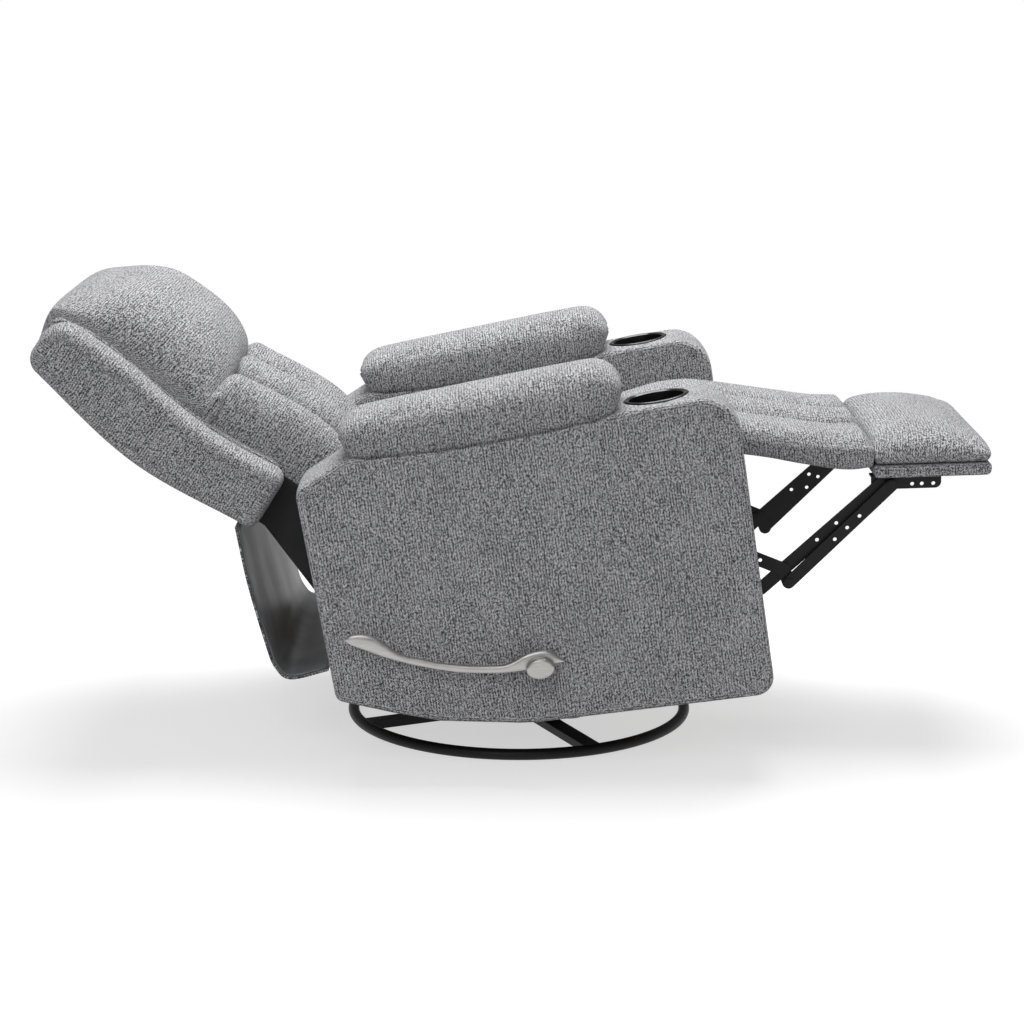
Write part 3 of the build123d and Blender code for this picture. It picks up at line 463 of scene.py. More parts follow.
# %% [markdown]
# ## Upholstered panels
# Arms, wings, the outer back and the footrest board are boards with thin padding: a flat face on each
# side, a rolled edge, a seam where the face meets the edge band. One function carries a closed outline
# across the chair. Its rows start at the middle of one face, grow to the seam, roll over the edge, cross
# the band and do the same on the other side. The face takes the yarn straight up, and the band across.

# %% Panel
def outward(outline):
    """Unit normals out of a closed outline: steps between neighbours, turned to the side that its signed
    area gives."""
    following = np.roll(outline, -1, 0)
    ahead = following - np.roll(outline, 1, 0)
    area = np.sum(outline[:, 0] * following[:, 1] - following[:, 0] * outline[:, 1])
    normal = np.stack([ahead[:, 1], -ahead[:, 0]], -1) * np.sign(area)
    return normal / np.linalg.norm(normal, axis=1, keepdims=True)


def there_and_back(stretches, sign=1):
    """Rows as far as the middle of the band, then the same rows back, on the other side if sign is -1."""
    rows = np.concatenate(stretches)
    return np.concatenate([rows, sign * rows[-2::-1]])


def panel(name, outline, low, high, put, roll, welt, dip=0.3, face_crown=0.0, band_crown=0.0,
          ribs_across=False):
    """Closed outline in millimetres carried across between two sides. A row is the outline set in by some
    millimetres along its normals, then drawn towards the middle by a share. Welt is the seam's width and
    dip its depth. The band's ribs run along the edge, or across it."""
    share = np.array([0, 0.12, 0.28, 0.44, 0.58, 0.70, 0.80, 0.88, 0.94, 0.98])
    stitch = np.array([6.5, 4.8, 3.8, 3.0, 2.2, 1.4, 0.6])
    deepest = 3
    seam = stitch * welt / stitch[0] + roll
    turn = np.radians(np.linspace(90, 0, 9))
    band = np.linspace(1, 0, 9)[1:]
    low, high = sorted((low, high))
    half = (high - low) / 2
    inset = [0 * share + seam[0], seam, roll - roll * np.cos(turn), -band_crown * (1 - band**2)]
    drawn = [share, np.ones(len(seam) + len(turn) + len(band))]
    side = [
        half + face_crown * (1 - share**2) ** 1.5,
        half - dip * bell(stitch - stitch[deepest], 1.4),
        half - roll + roll * np.sin(turn),
        (half - roll) * band,
    ]
    inset, drawn = there_and_back(inset), there_and_back(drawn)
    y = (low + high) / 2 + there_and_back(side, -1)
    middle = (outline.min(0) + outline.max(0)) / 2
    set_in = outline - outward(outline) * inset[:, None, None]
    flat = middle + (set_in - middle) * drawn[:, None, None]
    points = put(flat[..., 0], flat[..., 1], y[:, None])
    face_map = np.concatenate([flat, flat[:, :1]], 1) / 1000
    over = np.cumsum(np.hypot(np.diff(inset, prepend=inset[:1]), np.diff(y, prepend=y[:1]))) / 1000
    over = (over - over[len(over) // 2])[:, None]
    band_map = np.stack(np.broadcast_arrays(over, running(outline[None], True) / 1000), -1)
    if ribs_across:
        band_map = band_map[..., ::-1]
    faces = len(share) + deepest + 1
    on_face = np.zeros((len(points) - 1, 1, 1, 1), bool)
    on_face[:faces] = on_face[-faces:] = True
    return sew(name, points, np.where(on_face, spans(face_map), spans(band_map)))


# %% [markdown]
# ## The arms
# Each arm is a tall box whose front nose is well rounded and whose foot slopes up towards the back, so
# that the chair can rock over its ring. The cup holder drops into a hole bored through the padding, and
# the bore stands square to the arm's top.

# %% Arms
sides = (("right", -1), ("left", 1))
arm_middle = 312.5
arm_outline = rounded([
    (418, 79, 30), (418, 576, 62), (-208, 562, 22), (-295, 522, 22), (-285, 172, 15),
    (-197, 138, 0), (-122, 113, 0), (3, 91, 0), (30, 88, 0),
], 320)
cup_ruler = ruler(corner=(295, 573.2), slope=1.28)
cup_radius = 47.6


def bore_cup(arm, y):
    """Takes a round hole out of the arm's top: a cylinder of the cup's radius that leans with the arm."""
    turn = np.linspace(0, 2 * math.pi, 64, endpoint=False)[None]
    foot_and_head = np.array([[-74.0], [30.0]])
    forward, up = cup_ruler(cup_radius * np.cos(turn), foot_and_head)
    rows = capped(on_chair(forward, up, y + cup_radius * np.sin(turn)))
    cutter = sew("bore", rows, laid(rows))
    cut = arm.modifiers.new("bore", "BOOLEAN")
    cut.object = cutter
    cut.solver = "EXACT"
    bored = bpy.data.meshes.new_from_object(arm.evaluated_get(bpy.context.evaluated_depsgraph_get()))
    arm.modifiers.clear()
    arm.data = bored
    bpy.data.objects.remove(cutter)


for side_name, sign in sides:
    arm = panel(f"arm_cover_{side_name}", arm_outline, sign * 235.0, sign * 390.0, on_chair,
                roll=9, welt=4.0, dip=0.5, face_crown=0.8, band_crown=2.0)
    bore_cup(arm, sign * arm_middle)
    dress(arm, "chair", f"arm_{side_name}")
    print(arm.name, len(arm.data.polygons), "faces")

# %% [markdown]
# ## The arm pads
# A bolster of fibre is sewn along the top of each arm. Its ends are round noses, its sides are full and
# hang a little over the arm's edges, and it is flat only where it lies on the arm. Rows run from nose to
# nose; each row is two half rounds about a waist line, a full one above and a boxy one below.

# %% Arm pads
def oval(half, waist, top, base, droop, count, full, boxy):
    """Section of a bolster: (y, height) round from the middle of the base. Above the waist the round has
    the power full, and below it the power boxy. Both sides droop over the arm's edges."""
    half, waist, top, base, droop = (value[:, None] for value in (half, waist, top, base, droop))
    a = np.linspace(-math.pi / 2, 1.5 * math.pi, count, endpoint=False)[None]
    upper = np.sin(a) > 0
    power = np.where(upper, 2 / full, 2 / boxy)
    y = -half * np.sign(np.cos(a)) * np.abs(np.cos(a)) ** power
    beside = np.clip((np.abs(y) / half - 0.75) / 0.18, 0, 1)
    deep = waist - base + droop * beside
    return y, waist + np.where(upper, top - waist, -deep) * np.abs(np.sin(a)) ** power


rear, nose = -213.0, 242.0
end_round, waist_height = 44, 33
forward = graded(rear, nose, end_round, end_round, 46)
ends = np.minimum(forward - rear, nose - forward)
crest = bent([(-216, 624), (-172, 626), (-16, 635), (177, 646), (211, 648), (245, 648)], forward)
arm_top = 562 + 14 * (forward + 208) / 626  # climbs 14 mm from its rear corner to its nose
base = arm_top + 0.5
waist = base + waist_height
top = waist + (crest - waist) * quarter(ends / end_round)
foot_round = quarter(ends / 16)
foot = waist - (waist - base) * foot_round
half = 82.0 * (0.74 + 0.26 * quarter(ends / 40))
sag = np.sin(math.pi * (forward - rear) / (nose - rear))
y, up = oval(half, waist, top, foot, (22 + 17 * sag) * foot_round, count=88, full=2.7, boxy=4.0)
above_edge = up - (base - 2 - 11 * sag)[:, None]
under = np.clip((waist[:, None] - up) / waist_height, 0, 1.3)
at_rear = np.clip(1 - (forward - rear) / 70, 0, 1)
at_nose = np.clip(1 - (nose - forward) / 70, 0, 1)
drawn_in = under * (8 * at_rear - 12 * at_nose)[:, None]
# painted shade: the pad's sides darken towards their lower edge, with a dark line along that edge, where
# shade falls under the full sides
shaded = 0.22 * np.clip(1 - above_edge / 45, 0, 1) + 0.6 * bell(above_edge, 4.5)
shaded = np.where(np.abs(y) > 0.9 * half[:, None], shaded, 0.0)
pinned = up < base[:, None] + 6
pads = []
for side_name, sign in sides:
    points = on_chair(forward[:, None] + drawn_in, up, sign * arm_middle + y)
    pads.append(sew(f"arm_bolster_{side_name}", points, laid(points), held=pinned, worn=shaded))
print("arm pads", [len(pad.data.vertices) for pad in pads])

# %% [markdown]
# ## The seat and its chaise
# Seat and leg support are one long cushion in three channels, which runs over the front edge and on to
# the footrest. Two rows of stitches pull it down. It is one piece, so that nothing opens at the fold: its
# points follow the seat behind the front edge, the leg support before it, and bend smoothly between.

# %% Channelled cushion
def channel_places(half, seam, roll):
    """Places across a channelled cushion, with a column on each seam and closer ones round the edges."""
    edge = half - roll * (1 - np.sin(np.linspace(0, math.pi / 2, 10)))
    ease = np.sin(np.linspace(0, math.pi / 2, 13))
    right = np.concatenate([seam * ease, half - roll - (half - roll - seam) * ease[::-1][1:], edge[1:]])
    return np.concatenate([-right[:0:-1], right])


def channelled(crest, base, depth, half, seam, outer, crown, roll, roll_base):
    """Heights over the places, above and below. Each channel's top rises as (1 - t^2)^0.5, t being the
    distance from the channel's middle; past the outer middles it stays full until the edge rolls down.
    The middle channel stands higher by the crown. Gives the places, the heights, the seams and how far
    each place is sunk."""
    crest, base, depth = crest[:, None], base[:, None], depth[:, None]
    y = channel_places(half, seam, roll)
    apart = np.abs(y)
    middle = len(y) // 2
    t = np.where(apart < seam, apart / seam, np.clip((outer - apart) / (outer - seam), 0, 1))
    sunk = 1 - (1 - np.clip(0.99 * t, 0, 1) ** 2) ** 0.5
    lower = crown * np.clip(apart / outer, 0, 1) ** 2
    waist = base + 0.42 * (crest - base)
    top = waist + (crest - lower - depth * sunk - waist) * quarter((half - apart) / roll, 2.3)
    low = waist - (waist - base) * quarter((half - apart) / roll_base, 2.3)

    def once_round(below, above):
        """From the middle of the base to one edge, over the top, and back along the base."""
        return np.concatenate([below[..., middle::-1], above[..., 1:-1], below[..., :middle:-1]], -1)

    height = once_round(low, top)
    tied = once_round(0 * y + 1, (np.abs(apart - seam) < 0.01) * 1.0)
    tied = np.broadcast_to(tied, height.shape).copy()
    return once_round(y, y)[None], height, tied, once_round(sunk, sunk)[None]


def shut(height, places, first, last):
    """Draws the rows at both ends together to their waist, over the first and the last few millimetres, so
    that the cushion's ends are round above and squarer below."""
    middle = (height.max(1) + height.min(1))[:, None] / 2
    ends = np.minimum((places - places[0]) / first, (places[-1] - places) / last)[:, None]
    return middle + (height - middle) * np.where(height > middle, quarter(ends), quarter(2.5 * ends))


def scalloped(places, start, reach, deep, sunk):
    """Places drawn back where the channels are sunk, from a start on with the square of the distance."""
    return places[:, None] - deep * np.clip((places - start) / reach, 0, 1)[:, None] ** 2 * sunk


# %% Seat and chaise
seat_seam = 70.0
forward = graded(-172, 640.0, 22, 14, 108)
crest = bent([(-175, 461), (-50, 482), (100, 501), (252, 517), (326, 526), (376, 522), (407, 514),
              (511, 484), (590, 462), (619, 457), (640, 453)], forward)
base = bent([(-175, 416), (200, 440), (325, 447), (400, 446),
             (460, 431), (525, 409), (605, 388), (640, 388)], forward)
depth = bent([(-175, 26), (0, 36), (326, 38), (500, 36), (600, 32), (640, 20)], forward)
y, up, tied, sunk = channelled(
    crest, base, depth, half=227.0, seam=seat_seam, outer=138.0, crown=7.0, roll=54.0, roll_base=20.0)
up = shut(up, forward, 22, 14)
points = on_chair(scalloped(forward, 600, 40, 9, sunk), up, y)
tied[:3] = tied[-3:] = 1
# painted shade: the seat's colour is darkened along the channel seams, where shade falls in the valleys
valley_painted_shade = 0.45 * bell(np.abs(y) - seat_seam, 20) * (up > base[:, None] + 12)
seat = sew("seat_and_chaise", points, laid(points), held=tied, worn=valley_painted_shade)
print("seat", len(seat.data.vertices), "points")

# %% [markdown]
# ## The back cushions
# The lower back has the same three channels, fuller ones, whose upper ends tuck under the head pillow.

# %% Lower back
back_seam = 84.0
along = graded(-96, 172, 26, 26, 40)
crest = bent([(-98, 60), (-60, 79), (-20, 88), (40, 88), (93, 82), (125, 77.5), (172, 73)], along)
base = 0 * along - 63
depth = 0 * along + 70
y, out, tied, sunk = channelled(
    crest, base, depth, half=230.0, seam=back_seam, outer=200.0, crown=2.0, roll=64.0, roll_base=14.0)
out = shut(out, along, 28, 26)
points = on_back(scalloped(along, 102, 70, 14, sunk), out, y)
tied[:2] = tied[-2:] = 1
# painted shade: the lower back's colour is darkened along the channel seams, where shade falls in the
# valleys
valley_painted_shade = 0.68 * bell(np.abs(y) - back_seam, 24) * (out > 0)
lower_back = sew("lower_back_channels", points, laid(points), held=tied, worn=valley_painted_shade)
print("lower back", len(lower_back.data.vertices), "points")

# %% [markdown]
# ## The head pillow
# A pillow as wide as the back overhangs the channels. It is a dome over its height and over its width,
# with a seam along each side where the front cover meets the side strip, and it is drawn in at its lower
# corners. Rows run across the chair; each row is one closed section of the pillow, lower towards the sides.

# %% Head pillow
def cushion_section(marks, steps, base_steps, count):
    """Closed section of a cushion, evenly divided: a smooth front through the marks and a straight base
    back to the first."""
    base = np.linspace(marks[-1], marks[0], base_steps)[1:-1]
    return evenly(np.vstack([through(marks, steps), base]), count)


pillow_half, pillow_middle, end_depth = 238, 310, -30
share = crowded(75, 0.55)
section = cushion_section([
    (450, -62), (462, -20), (460, 6), (444, 33), (418, 58), (384, 88.5), (340, 111.5), (285, 115),
    (234, 111), (197, 99), (168, 79), (154, 51), (157, 12), (160, -34), (162, -62),
], steps=300, base_steps=60, count=110)
dome = ((1 - np.abs(share) ** 3.0) ** 0.5)[:, None]
front = np.clip(section[:, 1], 0, None)[None]
out = np.minimum(section[:, 1], 0)[None] + front * (0.06 + 0.94 * dome)
up_back = pillow_middle + (section[:, 0] - pillow_middle)[None] * (1 - 0.045 * (1 - dome))
lower_corner = bell(up_back - 175, 55) * bell(np.abs(share)[:, None] - 0.93, 0.1)
out = out - 9 * lower_corner * (front > 8)
closing = np.concatenate([[0.0, 0.5], np.ones(len(share)), [0.5, 0.0]])[:, None]
out, up_back = (np.pad(rows, ((2, 2), (0, 0)), mode="edge") for rows in (out, up_back))
width = np.pad(share, 2, mode="edge")[:, None] * pillow_half
out = end_depth + (out - end_depth) * closing
up_back = pillow_middle + (up_back - pillow_middle) * closing
points = on_back(up_back, out, width)
tied = (out < 2) | (np.abs(width) > pillow_half - 3)
pillow = sew("head_pillow_cover", points, laid(points, turned=True), held=tied)
print("head pillow", len(pillow.data.vertices), "points")

# %% [markdown]
# ## The footrest pad
# The pad on the footrest board is a crowned box cushion: flat below, with a blunt heel, a long crown and a
# sharp front edge.

# %% Foot pad
pad_middle, pad_seam, pad_half = 92, 15, 227
share = crowded(69, 0.6)
section = cushion_section([
    (2, 1), (-2, 14), (-2, 30), (-1, 44), (9, 53), (34, 58.5), (69, 60), (105, 57), (140, 50), (167, 41),
    (185, 31), (192, 20), (191, 8), (186, 1),
], steps=240, base_steps=50, count=84)
swell = ((1 - np.abs(share) ** 7) ** 0.5)[:, None]
above = 0.9 * swell + 0.1 * (1 - share**2)[:, None]
below = quarter((1 - np.abs(share)) / 0.07)[:, None]
rise = (section[:, 1] - pad_seam)[None]
out = pad_seam + rise * np.where(rise > 0, above, below)
ahead = (section[:, 0] - pad_middle)[None]
along = pad_middle + ahead * (1 - 0.05 * (ahead > 0) * (1 - swell))
points = on_board(along, out, share[:, None] * pad_half)
tied = (out < 3) | (np.abs(share)[:, None] > 0.985)
foot = sew("footrest_cushion", points, laid(points, turned=True), held=tied)
print("foot pad", len(foot.data.vertices), "points")

# %% [markdown]
# ## Filling
# All cushions are swelled in one run. Their crowns are drawn full already, so the cap is small.

# %% Fill the cushions
plump([*pads, seat, lower_back, pillow, foot], pressure=4.0, cap=0.004)
for piece, body, nodes, fill in (
    (pads[0], "chair", ["arm_pad_right"], 0.8),
    (pads[1], "chair", ["arm_pad_left"], 0.8),
    (seat, None, ["seat_cushion", "chaise_pad"], 0.7),
    (lower_back, "back", ["lumbar_cushion"], 0.75),
    (pillow, "back", ["head_pillow"], 0.8),
    (foot, "footrest", ["foot_pad"], 0.75),
):
    dress(piece, body, *nodes, fill=fill)
    smooth = piece.modifiers.new("fine", "SUBSURF")
    smooth.levels = smooth.render_levels = 1
tuple(on_chair(352.0, 499.0, 0.0))
tuple(on_chair(452.0, 492.0, 0.0))
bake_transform(seat)

# %% [markdown]
# ## The back's wings and outer panel
# The wings stand at both sides of the back, thick and flat, with a rolled front edge and a seam along it.
# Strips and a gathered crease close the gaps beside the cushions, and the outer back is a thin padded
# panel between the wings.

# %% Wings
wing_front = np.linspace(0, 440, 45)
wing_front_out = bent([(0, 0), (70, -10.5), (141, -14), (215, -9), (286, 0), (440, 5)], wing_front)
wing_rear = np.linspace(420, 20, 30)
wing_rear_out = bent([(0, -104), (207, -122), (441, -84)], wing_rear)
wing_outline = rounded([
    (441, 5, 38), (441, -84, 26), *unrounded(wing_rear, wing_rear_out),
    (-9, -106, 18), (-4, -1, 18), *unrounded(wing_front[3:-6], wing_front_out[3:-6]),
], 260)
for side_name, sign in sides:
    wing = panel(f"wing_cover_{side_name}", wing_outline, sign * 245.0, sign * 322.0, on_back,
                 roll=18, welt=5.0, dip=1.6, face_crown=2.0, band_crown=3.0, ribs_across=True)
    dress(wing, "back", f"wing_{side_name}")
    print(wing.name, len(wing.data.polygons), "faces")

# %% Side strips and gathered crease
strip_front = np.linspace(20, 440, 40)
strip_out = bent([(20, -4), (140, -14), (215, -10), (286, -2), (400, 2), (440, -6)], strip_front)
strip_outline = rounded([
    (448, -16, 6), (448, -56, 4), (10, -56, 4), (10, -6, 4), *unrounded(strip_front, strip_out),
], 240)
for side_name, sign in sides:
    strip = panel(f"back_side_strip_{side_name}", strip_outline, sign * 222.0, sign * 244.6, on_back,
                  roll=6, welt=3.0, band_crown=1.0)
    dress(strip, "back")

turn = np.linspace(0, 2 * math.pi, 48, endpoint=False)
crease = np.stack([155 + 15 * np.cos(turn), 4 + 34 * np.sin(turn)], -1)
gather = panel("pillow_gather", crease, -237.0, 237.0, on_back, roll=8, welt=2.0, dip=0.0)
dress(gather, "back")
print("strips and crease", len(strip.data.polygons), len(gather.data.polygons), "faces")

# %% Outer back
belly = np.linspace(70, 430, 30)
belly_out = bent([(0, -114), (60, -114), (207, -119.5), (430, -88)], belly)
outer_outline = rounded([
    (0, -97, 3), (0, -114, 5), (60, -114, 0), *unrounded(belly, belly_out),
    (452, -66, 6), (430, -66, 2), (424, -74, 0), (400, -97, 0),
], 220)
outer_back = panel("outer_back_cover", outer_outline, -244.0, 244.0, on_back, roll=2.5, welt=2.5)
dress(outer_back, "back", "back_outer_panel")
print("outer back", len(outer_back.data.polygons), "faces")

# %% Footrest board
board_outline = rounded([(-3, 0, 4), (-3, -20, 6), (190, -20, 9), (190, 0, 5)], 120)
board = panel("footrest_board_cover", board_outline, -226.0, 226.0, on_board,
              roll=4.0, welt=2.5, band_crown=0.6)
dress(board, "footrest", "footrest_board")
print("footrest board", len(board.data.polygons), "faces")

# %% [markdown]
# ## The rear flap
# Under the back hangs a flap of the same cloth with a smooth dark lining. It hides the mechanism when the
# back is up, and swings out when the back is down. Both are sheets: a line that curls forward at its foot,
# carried across the chair with slack waves, then given a thickness.

# %% Linings
def lining(name, dark, light, rough):
    """Smooth woven lining: faint crossed threads, soft creases in shade, a little gloss."""
    material, add, into = finish_named(name)
    coords = add("UVMap", {"uv_map": "weave"}).outputs["UV"]
    threads = stretched(add, coords, 1600, 1600, detail=0.0)
    creases = stretched(add, coords, 16, 11, detail=3.0)
    tone = sum_of(add, (threads, 0.35), (creases, 0.65))
    into("Base Color", shades(add, tone, [(0.35, dark), (0.65, light)]))
    into("Normal", raised(add, tone, 0.25, 0.001))
    into("Roughness", rough)
    into("Sheen Weight", 0.1)
    return material


satin_lining = lining("dark_satin_lining", (0.135, 0.140, 0.152), (0.250, 0.258, 0.274), 0.36)
black_cloth = lining("black_dust_cloth", (0.007, 0.007, 0.008), (0.018, 0.018, 0.020), 0.8)
print("linings", satin_lining.name, black_cloth.name)

# %% Flap
flap_hinge = np.array([-410.84, 461.99])


def sheet(name, line, half, wave, thick, rows=48, columns=73, wave_length=173):
    """A line of points carried across from -half to half, waved along its normals, then made solid. The
    waves are a sine across, shifted a little on the way down, and die out at the head and the foot. Gives
    the piece and its flat size in metres."""
    line = evenly(line, rows, closed=False)
    ahead = np.gradient(line, axis=0)
    normal = np.stack([-ahead[:, 1], ahead[:, 0]], -1) / np.linalg.norm(ahead, axis=1, keepdims=True)
    y = np.linspace(-half, half, columns)[None]
    drop = np.linspace(0, 1, rows)[:, None]
    slack = wave * np.sin(2 * math.pi * (y / wave_length + 0.3 * drop)) * np.sin(math.pi * drop) ** 0.7
    flat = line[:, None] + normal[:, None] * slack[..., None]
    points = on_chair(flat[..., 0], flat[..., 1], y)
    piece = sew(name, points, laid(points, closed=False, turned=True), closed=False)
    thicken(piece, thick, offset=0)
    length = float(np.sum(np.linalg.norm(np.diff(line, axis=0), axis=1)))
    return piece, (2 * half / 1000, length / 1000)


def flap_line(inset):
    """The flap's line below its hinge, set in from its outer face: head, belly, hip, curl, foot, lip."""
    return flap_hinge + through([
        (inset - 2, -4), (inset + 2, -100), (inset + 15, -210), (0.8 * inset + 24, 0.5 * inset - 248),
        (0.3 * inset + 46, inset - 271), (110, inset - 266),
    ], 120)


cover, cut = sheet("rear_flap_cover", flap_line(2.0), 284.0, 0.6, 0.0035)
dress(cover, "flap", "rear_flap")
inner, cut = sheet("rear_flap_lining", flap_line(6.2), 281.0, 0.6, 0.0022)
dress(inner, "flap", "rear_flap_liner", slot="dark_lining", material=satin_lining)
print("flap and lining hung, the lining cut to", cut)

# %% [markdown]
# ## Cloth behind the cushions
# A black dust cloth is stretched over the back's posts like a tray: a floor behind them and a wall up each
# side. A strip of tweed is pulled through between seat and back, and runs from the one to the other.

# %% Dust cloth
drop = np.linspace(-164, -1, 27)[:, None]
wall_rise = np.linspace(0, 1, 16)[None]
across = np.linspace(-225, 225, 65)[None]
rim = np.clip(38 + 1.05 * drop, -94, -16)
wall_out = rim + (-95 + 0.34 * drop - rim) * wall_rise
floor_out = -105.5 + 1.5 * np.sin(across / 24) * np.sin(math.pi * drop / 165)
out = np.concatenate([wall_out, floor_out, wall_out[:, ::-1]], 1)
width = np.concatenate([0 * wall_rise - 232.5, across, 0 * wall_rise + 232.5], 1)
points = on_back(drop, out, width)
veil = sew("lower_back_veil", points, laid(points, closed=False), closed=False)
thicken(veil, 0.001, offset=-1)
dress(veil, "back", "lower_back_cloth", slot="dark_lining", material=black_cloth)
print("dust cloth", len(veil.data.vertices), "points")

# %% Pull-through strip
pull = np.stack([np.linspace(-163, -244, 5), np.array([437.0, 428.0, 430.0, 447.0, 474.0])], -1)
tuck, cut = sheet("seat_back_tuck", evenly(pull, 40, closed=False), 226.0, 1.0, 0.002)
dress(tuck, None)
tuple(on_chair(-166.0, 437.0, 0.0))
tuple(on_chair(-240.0, 470.0, 0.0))
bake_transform(tuck)
print("pull-through strip cut to", cut)

# %% [markdown]
# ## Metal, plastic and wood
# The base and the linkage are steel under a satin black coat, which is never quite even. The lever is cast
# and polished, with a lengthwise grain. The cups are moulded, the frame is plain pine.

# %% Hard finishes
def noise_on(add, scale, settings):
    """Noise over the place on the object in metres, times a scale for each axis."""
    place = add("TexCoord").outputs["Object"]
    scaled = add("VectorMath", {"operation": "MULTIPLY"}, {0: place, 1: scale}).outputs[0]
    return add("TexNoise", None, {"Vector": scaled, "Scale": 1.0, **settings}).outputs["Fac"]


def hard(name, dark, light, metal, rough, scale, stretch=(1, 1, 1), bump=0.05, shine=0.5, spread=0.12):
    """A hard finish: two near shades, two near gloss levels and a fine bump over the same noise."""
    material, add, into = finish_named(name)
    noise = noise_on(add, tuple(scale * axis for axis in stretch), {"Detail": 3.0, "Roughness": 0.6})
    gloss = add("MapRange", None, {
        "Value": noise, "From Min": 0.3, "From Max": 0.7,
        "To Min": rough - spread / 2, "To Max": rough + spread / 2,
    })
    into("Base Color", shades(add, noise, [(0.3, dark), (0.7, light)]))
    into("Roughness", gloss.outputs[0])
    into("Normal", raised(add, noise, bump, 0.0006))
    into("Metallic", metal)
    into("Specular IOR Level", shine)
    return material


def pine():
    """Plain pine: rings seen along the board, darker late wood, fine pores along the grain."""
    material, add, into = finish_named("plain_pine")
    rings = noise_on(add, (3.0, 40.0, 40.0), {"Detail": 4.0, "Distortion": 0.6})
    into("Base Color", shades(add, rings, [(0.35, (0.42, 0.25, 0.12)), (0.65, (0.66, 0.47, 0.27))]))
    into("Normal", raised(add, rings, 0.15, 0.001))
    into("Roughness", 0.65)
    return material


silver_shades = (0.40, 0.39, 0.375), (0.50, 0.49, 0.475)
lengthwise = (0.12, 1, 1)
finishes = {
    "black_steel": hard("black_coated_steel", 0.005, 0.010, 0.0, 0.45, 260.0, bump=0.08, shine=0.28),
    "bare_steel": hard("bare_zinc_steel", 0.30, 0.46, 1.0, 0.42, 90.0, spread=0.2),
    "frame_wood": pine(),
    "black_plastic": hard("black_moulded_plastic", 0.006, 0.012, 0.0, 0.20, 700.0, bump=0.04),
    "rubber": hard("black_rubber", 0.014, 0.024, 0.0, 0.75, 500.0, bump=0.1),
    "silver_lever": hard("satin_silver", *silver_shades, 1.0, 0.36, 300.0, lengthwise, bump=0.03),
    "bush_plastic": hard("pale_bush_plastic", 0.55, 0.68, 0.0, 0.45, 400.0),
    "dark_lining": black_cloth,
    "grey_chenille": grey_tweed,
}
print("finishes", sorted(finishes))

# %% Finish the solids
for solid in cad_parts.values():
    for i, material in enumerate(solid.data.materials):
        solid.data.materials[i] = finishes[material.name.split(".")[0]]
for node_name in ("knee_pivots", "board_pivots"):
    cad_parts[node_name].data.materials[0] = finishes["black_steel"]
print("finished", len(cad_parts), "solids")

# %% [markdown]
# ## The release lever
# A slim cast blade that hooks up to a finger grip at the rear and swells to a hub in front. Two edges, the
# upper and the lower, are bent through marks, and a rounded section is carried between them.

# %% Lever
lever_steps = 110
lever_pivot, lever_side, half_thick = (50, 190), -418, 5.9


def lever_edge(marks):
    """Smooth edge through marks, evenly divided."""
    return evenly(through(marks, 400), lever_steps, closed=False)


upper = lever_edge([
    (-302, 89), (-292, 95), (-278, 95), (-263, 91), (-250, 83), (-238, 72), (-224, 58), (-207, 47),
    (-184, 39), (-161, 30), (-122, 20), (-95, 15), (-61, 11), (-41, 15), (-24, 22), (-10, 25), (5, 26),
    (17, 23), (31, 12), (41, 3),
])
lower = lever_edge([
    (-302, 88), (-292, 78), (-272, 67), (-247, 53), (-214, 38), (-186, 27), (-150, 15), (-124, 8), (-97, 3),
    (-71, -1), (-44, -3), (-24, -3), (2, -1), (26, 1), (41, 2),
])
turn = np.linspace(0, 2 * math.pi, 28, endpoint=False)
high_share = 0.5 + 0.5 * np.sign(np.sin(turn)) * np.abs(np.sin(turn)) ** 0.7
thick = np.sign(np.cos(turn)) * np.abs(np.cos(turn)) ** 0.7
ends = np.minimum(np.linspace(0, 1, lever_steps), np.linspace(1, 0, lever_steps))
thick = half_thick * thick[None] * quarter(ends / 0.03)[:, None]
flat = lever_pivot + lower[:, None] + (upper - lower)[:, None] * high_share[None, :, None]
points = capped(on_chair(flat[..., 0], flat[..., 1], lever_side + thick))
blade = sew("release_lever_blade", points, laid(points))
dress(blade, "lever", "release_lever", slot="silver_lever", material=finishes["silver_lever"])
print("lever", len(blade.data.vertices), "points")

# %% [markdown]
# ## Studio
# A white sweep with soft light from above and in front, as in a catalogue picture: tops are bright, sides
# are darker. The floor takes the shadow near the chair and turns to plain white further out.

# %% Floor
scene = bpy.context.scene
scene.view_settings.view_transform = "Standard"


def largest(add, first, *others):
    """The largest of some factors."""
    for other in others:
        first = add("Math", {"operation": "MAXIMUM"}, {0: first, 1: other}).outputs[0]
    return first


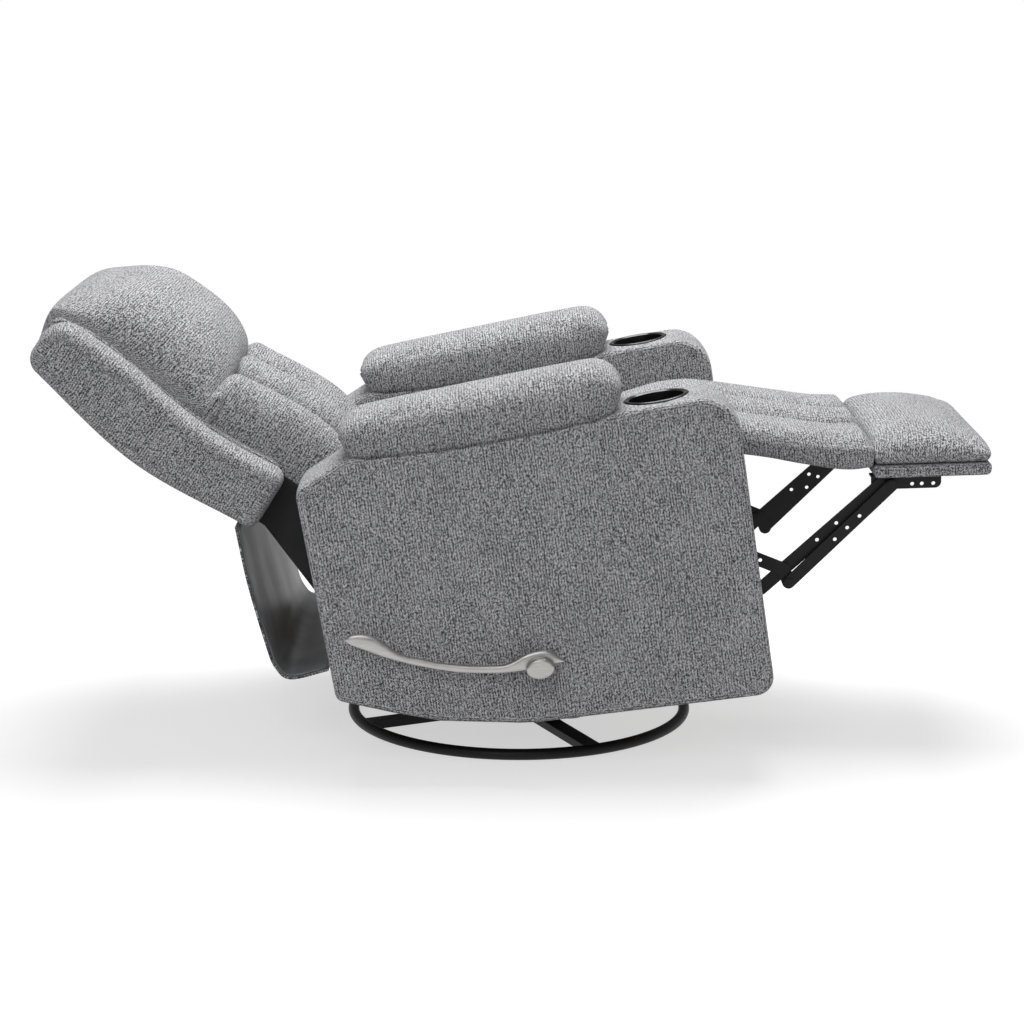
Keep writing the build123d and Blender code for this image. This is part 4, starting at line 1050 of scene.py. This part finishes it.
def white_sweep():
    """Matt floor with a glow that only seen rays meet, mixed to plain white over a smooth step in the
    distance from the chair."""
    material, add, into = finish_named("white_sweep")
    rays = add("LightPath").outputs
    seen = largest(add, rays["Is Camera Ray"], rays["Is Glossy Ray"], rays["Is Transmission Ray"])
    into("Base Color", (0.55, 0.55, 0.55, 1))
    into("Roughness", 1.0)
    into("Specular IOR Level", 0.0)
    into("Emission Color", (1, 1, 1, 1))
    into("Emission Strength", sum_of(add, (seen, 0.58)))
    place = add("TexCoord").outputs["Object"]
    reach = add("VectorMath", {"operation": "LENGTH"}, {0: place}).outputs["Value"]
    step = {"Value": reach, "From Min": 0.9, "From Max": 2.0}
    away = add("MapRange", {"interpolation_type": "SMOOTHSTEP"}, step).outputs[0]
    nodes = material.node_tree.nodes
    matt, white = nodes["Principled BSDF"].outputs[0], add("Emission").outputs[0]
    mixed = add("MixShader", None, {0: sum_of(add, (away, seen)), 1: matt, 2: white}).outputs[0]
    feed(material.node_tree, nodes["Material Output"].inputs["Surface"], mixed)
    return material


span = np.linspace(-30, 30, 3)
grid = np.stack(np.meshgrid(span, span, [0.0], indexing="ij"), -1).reshape(3, 3, 3)
floor = sew("studio_floor", grid, laid(grid, closed=False), closed=False)
if floor.data.polygons[0].normal.z < 0:
    floor.data.flip_normals()
floor.data.materials.append(white_sweep())
print("floor", floor.dimensions[:])

# %% Surroundings and lamps
world = bpy.data.worlds.new("studio")
scene.world = world
world.use_nodes = True
add = adder(world.node_tree)
rays = add("LightPath").outputs
seen = largest(add, rays["Is Camera Ray"], rays["Is Transmission Ray"])
level = add("MapRange", None, {"Value": seen, "To Min": 0.27, "To Max": 1.0}).outputs[0]
backdrop = world.node_tree.nodes["Background"]
feed(world.node_tree, backdrop.inputs["Color"], (1, 1, 1, 1))
feed(world.node_tree, backdrop.inputs["Strength"], level)
chair_middle = (0.0, 0.0, 0.4)


def soft_box(name, place, size, power):
    """A square soft lamp at a place, turned to face the chair's middle."""
    lamp = bpy.data.lights.new(name, "AREA")
    lamp.size = size
    lamp.energy = power
    holder = bpy.data.objects.new(name, lamp)
    scene.collection.objects.link(holder)
    holder.location = place
    x, y, z = np.subtract(chair_middle, place)
    holder.rotation_euler = (math.atan2(np.hypot(x, y), -z), 0, math.atan2(y, x) - math.pi / 2)


soft_box("overhead", (0.1, 0.8, 3.5), 2.4, 138)
soft_box("front_fill", (-0.8, -3.6, 2.6), 2.0, 36)
print("lamps", [lamp.name for lamp in bpy.data.lights])

# %% Camera
looks_down = 12.1885
lens = bpy.data.cameras.new("camera")
lens.lens = 92.60
lens.sensor_width = 36.0
lens.clip_end = 100
eye = bpy.data.objects.new("camera", lens)
scene.collection.objects.link(eye)
eye.location = (-0.01206, -4.4724, 1.32335)
eye.rotation_euler = (math.radians(90 - looks_down), 0, 0)
scene.camera = eye
print("camera", eye.location[:])
